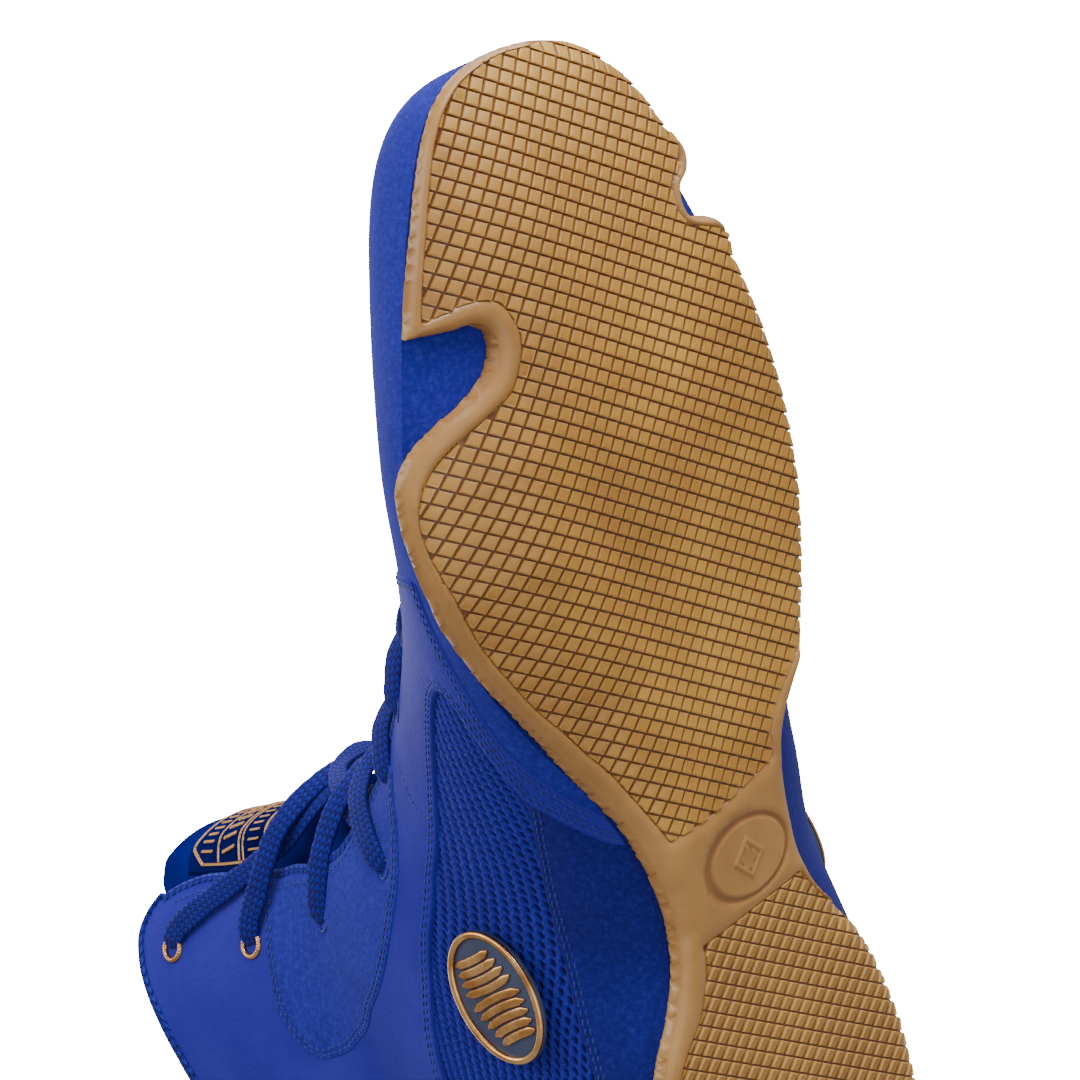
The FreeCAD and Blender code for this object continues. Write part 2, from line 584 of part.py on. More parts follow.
# each end goes in through the top eyelet and back along the inside of the
# shaft, where it is tucked; an aglet closes it
ENDS = [(22.45, 0.713, 0.9), (22.45, 0.713, -3.0), (22.45, 0.712, -6.8), (22.35, 0.685, -9.2), (22.1, 0.63, -9.8),
        (21.6, 0.55, -9.8), (21.2, 0.50, -9.8), (20.9, 0.45, -9.8)]
aglets = []
for side in (-1, 1):
    q = [off(u, v, side, o) for u, v, o in ENDS]
    up = [V(0, 0.3, 1)] * len(q)
    lace.append(ribbon(q, up, 2.3, 1.6))
    a, c = off(20.9, 0.45, side, -9.8), off(20.3, 0.36, side, -9.8)
    d_ = (c - a).normalize()
    aglets.append(Part.makeCylinder(val("aglet_outer") / 2, val("aglet_length"), a + d_ * 0.3, d_))
lace = Part.makeCompound(lace)
feature("lace", lace)
feature("lace_aglets", Part.makeCompound(aglets))

# ------------------------------------------------------------------ grommets
def seat(u, s, side, o):
    """Placement with local +Z out of the upper."""
    n = V(*normal(u, s, side))
    return FreeCAD.Placement(off(u, s, side, o), FreeCAD.Rotation(V(0, 0, 1), n))


def ring_body(name):
    body = doc.addObject("PartDesign::Body", name)
    sk = body.newObject("Sketcher::SketchObject", name + "Profile")
    xz = [f for f in body.Origin.OriginFeatures if f.Role == "XZ_Plane"][0]
    sk.AttachmentSupport = [(xz, "")]
    sk.MapMode = "FlatFace"
    ro, rb = val("grommet_outer") / 2, val("grommet_bore") / 2
    rl, fl, dp = val("grommet_barrel") / 2, val("grommet_flange"), val("grommet_depth")
    p = [(rb, fl), (ro - 0.25, fl), (ro, fl - 0.25), (ro, 0), (rl, 0), (rl, -dp), (rb, -dp)]
    for a, c in zip(p, p[1:] + p[:1]):
        sk.addGeometry(Part.LineSegment(V(a[0], a[1], 0), V(c[0], c[1], 0)), False)
    for i in range(len(p)):
        sk.addConstraint(Sketcher.Constraint("Coincident", i, 2, (i + 1) % len(p), 1))
    rev = body.newObject("PartDesign::Revolution", name + "Turn")
    rev.Profile = sk
    rev.ReferenceAxis = (sk, ["V_Axis"])
    rev.Angle = 360
    doc.recompute()
    return body


grom = ring_body("GrommetForm")
rings = []
for side in (-1, 1):
    for u, s in HOLES[:2]:
        g = grom.Shape.copy()
        g.Placement = seat(u, s, side, 0.12)
        rings.append(g)
feature("eyelet_grommets", Part.makeCompound(rings))

# ------------------------------------------------------------------ badges
BADGE = (13.75, 0.294)
for side in (-1, 1):
    nm = names[side]
    n = V(*normal(BADGE[0], BADGE[1], side))
    c = off(BADGE[0], BADGE[1], side, 0.0)
    # long axis runs from the upper front to the lower heel side
    ax = off(BADGE[0] + 0.5, BADGE[1] - 0.10, side, 0.0) - c
    ax = (ax - n * ax.dot(n)).normalize()
    ay = n.cross(ax)
    rot = FreeCAD.Rotation(ax, ay, n, "ZXY")

    def oval(a, bb, z0, z1):
        e = Part.Ellipse(V(0, 0, z0), a, bb)
        return Part.Face(Part.Wire([e.toShape()])).extrude(V(0, 0, z1 - z0))

    bl, bs, bt = val("badge_long") / 2, val("badge_short") / 2, val("badge_thick")
    rw, rh = val("badge_rim_width"), val("badge_rim_height")
    pl = FreeCAD.Placement(c + n * 1.15, rot)
    base = doc.addObject("Part::Feature", nm + "_badge_base")
    base.Label = nm + "_badge_base"
    base.Shape = oval(bl, bs, 0, bt)
    base.Placement = pl
    PIECES.append(base)
    rim = doc.addObject("Part::Feature", nm + "_badge_rim")
    rim.Label = nm + "_badge_rim"
    rim.Shape = oval(bl, bs, bt + 0.05, bt + 0.05 + rh).cut(oval(bl - rw, bs - rw, bt - 1, bt + 3))
    rim.Placement = pl
    PIECES.append(rim)

doc.recompute()
bad = []
for o in doc.Objects:
    if "Invalid" in o.State or "Error" in o.State:
        bad.append(o.Name + " state")
for o in PIECES:
    if o.Shape.isNull() or not o.Shape.isValid() or not o.Shape.Solids:
        bad.append(o.Label)
if bad:
    print("FAILED:", bad)
for o in PIECES:
    bb = o.Shape.optimalBoundingBox(False)
    print("%-26s %7.2f cm3  x %.1f %.1f  y %.1f %.1f  z %.1f %.1f  f%d" % (
        o.Label, o.Shape.Volume / 1000, bb.XMin, bb.XMax, bb.YMin, bb.YMax, bb.ZMin, bb.ZMax, len(o.Shape.Faces)))
if bad:
    raise SystemExit("invalid pieces: %s" % bad)
for o in PIECES:
    o.Shape.exportStep("parts/%s.step" % o.Label)
print("wrote", len(PIECES))
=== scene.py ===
"""A high lace-up boxing boot, seen from below: gum sole with a diamond tread,
suede and leather upper with knit side panels, laces, tongue and collar.
Everything is built in millimetres and turned into metres at the end."""
import math

import bpy
import numpy as np
from mathutils import Matrix, Vector
from mathutils.geometry import delaunay_2d_cdt


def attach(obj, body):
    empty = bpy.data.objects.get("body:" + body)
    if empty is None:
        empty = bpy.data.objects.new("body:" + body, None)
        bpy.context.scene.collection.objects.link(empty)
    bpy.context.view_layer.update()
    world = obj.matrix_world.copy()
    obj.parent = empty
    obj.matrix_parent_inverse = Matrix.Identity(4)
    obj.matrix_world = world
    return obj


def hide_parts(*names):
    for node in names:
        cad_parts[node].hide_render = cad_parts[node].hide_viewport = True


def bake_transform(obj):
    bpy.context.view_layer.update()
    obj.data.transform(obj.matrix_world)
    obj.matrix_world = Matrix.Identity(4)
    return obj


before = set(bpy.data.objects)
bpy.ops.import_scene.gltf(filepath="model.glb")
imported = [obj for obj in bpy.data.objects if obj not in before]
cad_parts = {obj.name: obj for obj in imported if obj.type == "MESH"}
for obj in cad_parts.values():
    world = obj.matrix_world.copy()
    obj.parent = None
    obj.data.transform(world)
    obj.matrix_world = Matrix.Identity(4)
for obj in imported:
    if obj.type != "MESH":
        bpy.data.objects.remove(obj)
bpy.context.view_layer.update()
MM = 0.001

# ------------------------------------------------------------------ last shape
# Ribs of the upper: medial foot, lateral foot, ridge, leans, turn, handles.
ST = [
    ((-15,-142.3,17.0),(4,-141.6,17.1),(-5,-142.6,18.0),0,0,0, 1,7,1,7),
    ((-22,-139.3,16.9),(9.5,-139.4,16.9),(-5.5,-139.8,26.5),0,0,0, 8,13,6,11),
    ((-27.5,-134.5,16.8),(15.3,-134.8,15.95),(-6,-134.6,33.0),0,0,0, 13,16,10,13),
    ((-32.2,-127,16.8),(20.3,-127.2,14.2),(-6.5,-127,38.5),0,0,0, 15,18,13,16),
    ((-36.6,-117,16.9),(24.6,-117,12.15),(-7,-117,42.5),0,2,0, 14,20,16,19),
    ((-41.5,-104,16.9),(28.6,-104,9.95),(-7.5,-104,45.5),0,5,0, 12,21,19,21),
    ((-46.5,-89,16.5),(32.6,-89,7.55),(-8,-89,47.2),0,8,0, 11,22,22,23),
    ((-51.5,-70,15.9),(36.0,-70,5.6),(-8,-71,49.2),0,10,0, 11,21,24,25),
    ((-51.0,-50,15.3),(36.8,-50,5.05),(-7,-53,54),0,10,0, 12,21,26,26),
    ((-45.0,-32,14.6),(34.5,-32,5.0),(-6,-36,61.5),10,22,0, 17,20,30,27),
    ((-36.5,-15,12.5),(28.5,-14,5.0),(-5,-19,71.2),32,50,0, 25,21,38,27),
    ((-27.0,1,9.0),(19.5,0,5.0),(-4,-4,80.8),57,78,0, 31,22,51,27),
    ((-21.0,18,6.5),(16.3,16,5.0),(-3,7,89.4),66,84,0, 34,23,54,28),
    ((-20.5,36,5.5),(18.5,34,5.0),(-2,13.5,97.3),60,82,0, 36,28,50,32),
    ((-31.5,54,5.2),(30.5,54,5.2),(-1.5,16.8,103.5),33,52,0, 32,36,36,37),
    ((-36.5,80,5.0),(37.5,80,5.3),(-1.2,18.8,108),12,12,0, 31,40,31,40),
    ((-35.5,106,5.0),(36.0,106,5.3),(-1,20.5,112),12,12,4, 28,44,28,44),
    ((-27.5,130,5.0),(28.5,130,5.4),(-0.8,22.2,116.5),12,12,20, 26,46,26,46),
    ((-13,143,5.2),(13,143,5.6),(-0.6,24.2,122),8,8,48, 31,46,31,46),
    ((0,145.2,25),(0,145.2,25),(-0.5,27.0,129.5),0,0,90, 42,46,42,46),
    ((0,142.0,52),(0,142.0,52),(-0.4,30.0,138),0,0,90, 44,46,44,46),
    ((0,134.5,82),(0,134.5,82),(-0.3,32.6,147),0,0,90, 46,46,46,46),
    ((0,130.0,110),(0,130.0,110),(-0.2,35,155.5),0,0,90, 47,46,47,46),
    ((0,129.0,136),(0,129.0,136),(0,37.4,164),0,0,90, 48,47,48,47),
    ((0,130.0,156),(0,130.0,156),(0,40,172),0,0,90, 48,47,48,47),
]
NST = len(ST)


def _ribs(side):
    """Four control points of every rib on one side."""
    k = 0 if side < 0 else 1
    feet = [r[k] for r in ST]
    out = []
    for i, row in enumerate(ST):
        f, ridge, psi, turn = row[k], row[2], row[3 + k], row[5]
        lf, lr = (row[6], row[7]) if side < 0 else (row[8], row[9])
        a, b = feet[max(i - 1, 0)], feet[min(i + 1, NST - 1)]
        tx, ty = b[0] - a[0], b[1] - a[1]
        n = math.hypot(tx, ty)
        if i >= 19 or n < 1e-6:
            ox, oy = float(side), 0.0
        else:
            ox, oy = ty / n * side, -tx / n * side
            if i == 18:
                ox, oy = 0.78 * side, 0.62
        p, t = math.radians(psi), math.radians(turn)
        d = [math.cos(t) * math.sin(p) * ox + math.sin(t) * side,
             math.cos(t) * math.sin(p) * oy, math.cos(t) * math.cos(p)]
        g = math.sqrt(sum(v * v for v in d))
        out.append([list(f), [f[j] + d[j] / g * lf for j in range(3)],
                    [ridge[0] + side * lr, ridge[1], ridge[2]], list(ridge)])
    # even out the handles where the arch turns into the heel
    for _ in range(2):
        old = [[list(p) for p in r] for r in out]
        for i in range(8, 19):
            for j in (1, 2):
                for c in range(3):
                    out[i][j][c] = 0.25 * old[i - 1][j][c] + 0.5 * old[i][j][c] + 0.25 * old[i + 1][j][c]
    return [sum(r, []) for r in out]


RIBS = {-1: _ribs(-1), 1: _ribs(1)}


RB = {k: np.array(v, float) for k, v in RIBS.items()}


def rib(u, side):
    """Control points (n, 4, 3) of the ribs at stations u."""
    q = RB[side]
    u = np.clip(np.asarray(u, float), 0.0, NST - 1.0)
    i = np.minimum(u.astype(int), NST - 2)
    f = (u - i)[:, None]
    b, c = q[i], q[i + 1]
    a = np.where((i > 0)[:, None], q[np.maximum(i - 1, 0)], 2 * b - c)
    d = np.where((i + 2 < NST)[:, None], q[np.minimum(i + 2, NST - 1)], 2 * c - b)
    r = 0.5 * (2 * b + (-a + c) * f + (2 * a - 5 * b + 4 * c - d) * f * f + (-a + 3 * b - 3 * c + d) * f ** 3)
    return r.reshape(-1, 4, 3)


def surf(u, s, side):
    u, s = np.broadcast_arrays(np.asarray(u, float), np.asarray(s, float))
    shape = u.shape
    q = rib(u.ravel(), side)
    t = s.ravel()[:, None]
    c = 1.0 - t
    r = c ** 3 * q[:, 0] + 3 * c * c * t * q[:, 1] + 3 * c * t * t * q[:, 2] + t ** 3 * q[:, 3]
    return r.reshape(shape + (3,))


def normal(u, s, side):
    e = 0.02
    u, s = np.broadcast_arrays(np.asarray(u, float), np.asarray(s, float))
    a = surf(np.minimum(u + e, NST - 1.0), s, side) - surf(np.maximum(u - e, 0.0), s, side)
    b = surf(u, np.minimum(s + e, 1.0), side) - surf(u, np.maximum(s - e, 0.0), side)
    n = np.cross(a, b) * side
    return n / np.maximum(np.linalg.norm(n, axis=-1, keepdims=True), 1e-9)


def off(u, s, side, o):
    o = np.asarray(o, float)
    return surf(u, s, side) + normal(u, s, side) * o[..., None]


def lerp(x, table):
    t = np.array(table, float)
    return np.interp(x, t[:, 0], t[:, 1])


def smooth(x, table, w=0.25):
    x = np.asarray(x, float)
    return (lerp(x - w, table) + 2 * lerp(x, table) + lerp(x + w, table)) / 4.0


def step(x, a, b):
    k = np.clip((np.asarray(x, float) - a) / (b - a), 0.0, 1.0)
    return k * k * (3 - 2 * k)


TOP = 23.35
UP = 1.4
EDGE = [(8.6, 0.80), (10.0, 0.80), (11.5, 0.79), (13.0, 0.75), (14.2, 0.745), (16.0, 0.80),
        (18.0, 0.83), (20.0, 0.838), (21.5, 0.836), (22.4, 0.82), (22.9, 0.80), (24.0, 0.77)]
MESH_TOP = [(8.7, 0.235), (9.45, 0.281), (9.95, 0.35), (10.8, 0.44), (12.45, 0.485), (14.2, 0.42),
            (15.3, 0.40), (16.6, 0.36), (17.6, 0.28), (18.4, 0.16), (19.0, 0.05), (19.4, 0.004)]
MESH_LOW = [(9.3, 0.215), (9.7, 0.175), (10.05, 0.163), (10.65, 0.150), (11.2, 0.185), (11.85, 0.213),
            (12.8, 0.205), (13.3, 0.188), (13.8, 0.14), (14.2, 0.115), (15.2, 0.10), (16.2, 0.14), (17.0, 0.22)]
BAND_TOP = [(8.7, 0.19), (9.25, 0.212), (9.7, 0.172), (10.05, 0.160), (10.65, 0.142), (10.9, 0.113), (11.3, 0.06)]
COLLAR = [(0.0, -0.25), (0.15, -0.45), (0.35, -0.72), (0.5, -0.80), (0.6, -0.45), (0.68, -0.08), (0.74, 0.0), (0.86, 0.0)]


def edge_s(u):
    return smooth(u, EDGE)


def mesh_top(u):
    return smooth(u, MESH_TOP, 0.15)


def mesh_low(u):
    return smooth(u, MESH_LOW, 0.12)


def band_top(u):
    return smooth(u, BAND_TOP, 0.1)


def top_u(s):
    return TOP + smooth(s, COLLAR, 0.04)


def corner(s):
    """The front corners of the shaft are rounded off."""
    return 0.50 * np.clip((np.abs(s) - 0.725) / 0.075, 0, 1.3) ** 2


XE = [(-150, -5), (-143, -14), (-138.5, -23), (-133, -28.5), (-126, -32.8), (-117, -36.6), (-104, -41.5),
      (-89, -46.5), (-70, -51.8), (-50, -51.2), (-32, -45.0), (-15, -36.5), (1, -27.0), (12, -22.4), (22, -20.2),
      (32, -20.2), (45, -25.4), (56, -32.5), (75, -36.2), (100, -35.8), (125, -29.5), (140, -17)]
CURL = [(-150, 0.2), (-142, 0.5), (-130, 3.2), (-117, 5.9), (-104, 8.6), (-89, 10.7), (-70, 12.0), (-50, 12.0),
        (-32, 11.4), (-15, 9.2), (1, 5.9), (18, 3.1), (36, 1.7), (54, 1.2), (80, 0.8), (150, 0.8)]
BANDW = [(-150, 16), (-120, 27), (-100, 35), (-20, 35), (5, 18), (20, 10), (45, 8), (150, 8)]
THIN = [(-143, 0.55), (-125, 0.80), (-105, 1.0)]


def ground(x, y):
    """Height of the tread face over the floor."""
    x, y = np.broadcast_arrays(np.asarray(x, float), np.asarray(y, float))
    spring = np.where(y < -50, 15.0 * ((-y - 50) / 93.0) ** 2, 0.0)
    k = np.clip(1 - (x - lerp(y, XE)) / lerp(y, BANDW), 0.0, 1.15)
    return spring + lerp(y, CURL) * k * k


def sole_thick(x, y):
    k = np.clip((x - lerp(y, XE)) / 26.0, 0.0, 1.0)
    return (2.9 + 1.7 * k) * lerp(y, THIN)


def floor_z(x, y):
    """The lowest face of the outsole; a soft maximum keeps it on or over the floor."""
    g = ground(x, y) - 0.45
    return np.where(g > 0.35, g, np.maximum(0.0, np.where(g < -0.35, 0.0, (g + 0.35) ** 2 / 1.4)))


MED = [(-43.6, -99.0), (-42.3, -102.3), (-39.8, -109.2), (-36.3, -117.7), (-32.5, -126.1), (-28.1, -133.4),
       (-23.9, -137.9), (-18.6, -141.0), (-12.2, -142.6), (-5.2, -142.9), (3.6, -141.9)]
LAT = [(11.5, -139.3), (16.8, -135.8), (21.6, -130.4), (24.8, -124.8), (27.0, -118.6), (28.7, -112.6),
       (27.6, -109.6), (24.6, -107.3), (23.6, -104.3), (24.6, -101.3), (27.6, -99.9), (31.2, -98.6),
       (33.2, -91.5), (34.6, -84.4), (35.9, -76.8), (36.6, -69.2), (37.3, -60.7), (37.5, -52.2), (36.9, -42.0),
       (35.0, -32.1), (31.8, -20.5), (28.3, -11.0), (23.4, -4.4), (19.8, 0.4), (17.3, 5.5), (16.2, 12.5), (15.9, 21.2),
       (16.4, 28.6), (18.6, 36.0), (24.0, 43.5), (29.0, 50.5), (32.0, 57.5), (34.4, 65.4), (36.6, 75.1),
       (37.8, 89.5), (37.2, 103), (34.2, 117), (27.5, 131), (16.0, 141.5), (0.0, 145.6)]
BACK = [(-15.5, 141.8), (-26.8, 131.5), (-33.3, 117), (-36.0, 103), (-36.8, 88), (-35.9, 72), (-33.4, 61),
        (-29.6, 53.4), (-25.2, 47.0), (-21.8, 40.4), (-19.9, 34.0), (-19.3, 28.0), (-19.9, 21.0), (-21.4, 14),
        (-23.6, 7.0), (-27.2, 0.2), (-31.0, -6.4), (-36.0, -15.9), (-40.5, -23.8), (-44.1, -30.0), (-47.6, -37.7),
        (-50.9, -46.0), (-53.0, -57.4), (-53.6, -66.0), (-52.9, -72.4), (-49.8, -77.6), (-44.0, -81.7),
        (-37.4, -84.8), (-32.1, -88.4), (-29.4, -92.6), (-29.3, -96.2), (-31.6, -98.2), (-36.4, -98.4)]


# ------------------------------------------------------------------ helpers
scene = bpy.context.scene
FLEX = []                                # pieces that bend at the ball on the boot; here they are only baked in place at the end
SEWN = []                                # pieces sewn down at the foot of the tongue
PATHS = {}


def finish_mesh(me, smooth_angle=None):
    me.update()
    import bmesh
    bm = bmesh.new()
    bm.from_mesh(me)
    bmesh.ops.recalc_face_normals(bm, faces=bm.faces)
    bm.to_mesh(me)
    bm.free()
    me.polygons.foreach_set("use_smooth", [True] * len(me.polygons))
    if smooth_angle is not None:
        me.set_sharp_from_angle(angle=math.radians(smooth_angle))
    me.update()


def piece(name, verts, faces, mat, slot=None, body="boot", nodes=(), angle=40, flex=False, recalc=True):
    """A mesh piece from points in millimetres."""
    me = bpy.data.meshes.new(name)
    v = np.asarray(verts, float) * MM
    me.from_pydata(v.tolist(), [], [list(map(int, f)) for f in faces])
    if recalc:
        finish_mesh(me, angle)
    else:
        me.polygons.foreach_set("use_smooth", [True] * len(me.polygons))
        if angle is not None:
            me.set_sharp_from_angle(angle=math.radians(angle))
        me.update()
    ob = bpy.data.objects.new(name, me)
    scene.collection.objects.link(ob)
    me.materials.append(mat)
    if nodes:
        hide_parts(*nodes)
    if flex == "tongue":
        SEWN.append(ob)
    elif flex:
        FLEX.append(ob)
    else:
        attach(ob, body)
    return ob


class Bag:
    """Collects many small closed forms into one mesh."""

    def __init__(self):
        self.v, self.f, self.n = [], [], 0

    def add(self, verts, faces):
        verts = np.asarray(verts, float).reshape(-1, 3)
        self.v.append(verts)
        n = self.n
        self.f.extend([[i + n for i in f] for f in faces])
        self.n += len(verts)

    def out(self):
        return np.concatenate(self.v), self.f


def grid_faces(n, m, base=0, flip=False, wrap=False):
    i, j = np.meshgrid(np.arange(n - 1), np.arange(m if wrap else m - 1), indexing="ij")
    a = base + i * m + j
    b = base + i * m + (j + 1) % m
    c = base + (i + 1) * m + (j + 1) % m
    d = base + (i + 1) * m + j
    q = np.stack([a, b, c, d], -1).reshape(-1, 4)
    return (q[:, ::-1] if flip else q).tolist()


def shell(top, bot):
    """Closed solid between two point grids of the same size."""
    n, m = top.shape[:2]
    v = np.concatenate([top.reshape(-1, 3), bot.reshape(-1, 3)])
    f = grid_faces(n, m) + grid_faces(n, m, n * m, True)
    k = n * m
    ring = ([i * m for i in range(n)] + [(n - 1) * m + j for j in range(1, m)]
            + [i * m + m - 1 for i in range(n - 2, -1, -1)] + [j for j in range(m - 2, 0, -1)])
    for a, b in zip(ring, ring[1:] + ring[:1]):
        f.append([a, b, b + k, a + k])
    return v, f


def sweep(path, nrm, prof, closed_path=False, caps=True):
    """Closed profile (k, 2) swept along path (n, 3): x across, y along the normal."""
    path, nrm = np.asarray(path, float), np.asarray(nrm, float)
    n = len(path)
    if closed_path:
        t = np.roll(path, -1, 0) - np.roll(path, 1, 0)
    else:
        t = np.gradient(path, axis=0)
    t /= np.maximum(np.linalg.norm(t, axis=1, keepdims=True), 1e-9)
    w = np.cross(t, nrm)
    w /= np.maximum(np.linalg.norm(w, axis=1, keepdims=True), 1e-9)
    h = np.cross(w, t)
    prof = np.asarray(prof, float)
    if prof.ndim == 2:
        prof = np.repeat(prof[None], n, 0)
    k = prof.shape[1]
    v = path[:, None] + prof[..., 0:1] * w[:, None] + prof[..., 1:2] * h[:, None]
    f = grid_faces(n, k, wrap=True)
    if closed_path:
        f += [[(n - 1) * k + j, (n - 1) * k + (j + 1) % k, (j + 1) % k, j] for j in range(k)]
    elif caps:
        f += [list(range(k))[::-1], list(range((n - 1) * k, n * k))]
    return v.reshape(-1, 3), f


def round_prof(w, h, n=12, p=1.0):
    a = np.linspace(0, 2 * math.pi, n, endpoint=False)
    c, s = np.cos(a), np.sin(a)
    return np.stack([w / 2 * np.sign(c) * abs(c) ** p, h / 2 * np.sign(s) * abs(s) ** p], -1)


def resample(pts, gap, closed=False):
    """Even spacing along a polyline; returns points, arc length."""
    p = np.asarray(pts, float)
    if closed:
        p = np.concatenate([p, p[:1]])
    d = np.linalg.norm(np.diff(p, axis=0), axis=1)
    keep = np.concatenate([[True], d > 1e-9])
    p = p[keep]
    l = np.concatenate([[0], np.cumsum(np.linalg.norm(np.diff(p, axis=0), axis=1))])
    n = max(int(round(l[-1] / gap)), 2)
    t = np.linspace(0, l[-1], n + 1)
    if closed:
        t = t[:-1]
    return np.stack([np.interp(t, l, p[:, i]) for i in range(p.shape[1])], -1), l[-1]


def spline(pts, per=10, closed=False):
    """Catmull-Rom through the points."""
    p = np.asarray(pts, float)
    n = len(p)
    out = []
    for i in range(n if closed else n - 1):
        if closed:
            a, b, c, d = p[(i - 1) % n], p[i], p[(i + 1) % n], p[(i + 2) % n]
        else:
            a, b, c, d = p[max(i - 1, 0)], p[i], p[i + 1], p[min(i + 2, n - 1)]
        # centripetal knots keep uneven spacing from looping
        t1 = max(np.linalg.norm(b - a), 1e-6) ** 0.5
        t2 = max(np.linalg.norm(c - b), 1e-6) ** 0.5
        t3 = max(np.linalg.norm(d - c), 1e-6) ** 0.5
        m1 = (c - b) / t2 - (c - a) / (t1 + t2) + (b - a) / t1 if i > 0 or closed else (c - b) / t2
        m2 = (d - c) / t3 - (d - b) / (t2 + t3) + (c - b) / t2 if i < n - 2 or closed else (c - b) / t2
        m1, m2 = m1 * t2, m2 * t2
        for k in range(per):
            t = k / per
            out.append((2 * t ** 3 - 3 * t * t + 1) * b + (t ** 3 - 2 * t * t + t) * m1
                       + (-2 * t ** 3 + 3 * t * t) * c + (t ** 3 - t * t) * m2)
    if not closed:
        out.append(p[-1])
    return np.array(out)


def inside(pts, poly):
    """Which 2-D points lie inside the closed polygon."""
    p, q = np.asarray(pts, float), np.asarray(poly, float)
    x, y = p[:, 0], p[:, 1]
    r = np.zeros(len(p), bool)
    for (x0, y0), (x1, y1) in zip(q, np.roll(q, -1, 0)):
        if y0 == y1:
            continue
        c = (y0 > y) != (y1 > y)
        r ^= c & (x < (x1 - x0) * (y - y0) / (y1 - y0) + x0)
    return r


def dist(pts, line, closed=True):
    """Distance from points to a polyline, in any dimension."""
    p, a = np.asarray(pts, float), np.asarray(line, float)
    b = np.roll(a, -1, 0) if closed else a[1:]
    if not closed:
        a = a[:-1]
    ab = b - a
    l2 = np.maximum((ab ** 2).sum(1), 1e-12)
    out = np.full(len(p), 1e9)
    for i in range(0, len(p), 2000):
        ap = p[i:i + 2000, None] - a[None]
        t = np.clip((ap * ab).sum(-1) / l2, 0, 1)
        d = np.linalg.norm(ap - t[..., None] * ab, axis=-1)
        out[i:i + 2000] = d.min(1)
    return out


def fill(loops, extra, tol=1e-6):
    """Triangles inside the first loop, through every point given."""
    pts, edges, n = [], [], 0
    for lp in loops:
        lp = np.asarray(lp)
        pts.append(lp)
        edges += [(n + i, n + (i + 1) % len(lp)) for i in range(len(lp))]
        n += len(lp)
    if len(extra):
        pts.append(np.asarray(extra))
    pts = np.concatenate(pts)
    v, e, f, _, _, _ = delaunay_2d_cdt([Vector(p) for p in pts.tolist()], edges, [], 1, tol)
    v = np.array([tuple(p) for p in v], float)
    f = np.array([tuple(t) for t in f], int)
    c = v[f].mean(1)
    f = f[inside(c, loops[0])]
    a, b, c = v[f[:, 0]], v[f[:, 1]], v[f[:, 2]]
    area = (b[:, 0] - a[:, 0]) * (c[:, 1] - a[:, 1]) - (b[:, 1] - a[:, 1]) * (c[:, 0] - a[:, 0])
    f = f[abs(area) > 1e-9]
    used = np.unique(f)
    new = np.full(len(v), -1)
    new[used] = np.arange(len(used))
    return v[used], new[f]


def boundary(f):
    """Directed boundary edges of a triangle list with consistent winding."""
    e = np.concatenate([f[:, [0, 1]], f[:, [1, 2]], f[:, [2, 0]]])
    key = {}
    for a, b in e.tolist():
        key[(a, b)] = key.get((a, b), 0) + 1
    return [(a, b) for a, b in key if (b, a) not in key]


def slab_mesh(top, bot, f):
    """Closed solid from a triangulation and its points above and below."""
    n = len(top)
    faces = f.tolist() + (f[:, ::-1] + n).tolist()
    faces += [[b, a, a + n, b + n] for a, b in boundary(f)]
    return np.concatenate([top, bot]), faces


def add_wuv(ob, wu, wv):
    for nm_, val_ in (("wu", wu), ("wv", wv)):
        a_ = ob.data.attributes.new(nm_, "FLOAT", "POINT")
        a_.data.foreach_set("value", np.asarray(val_, np.float32))

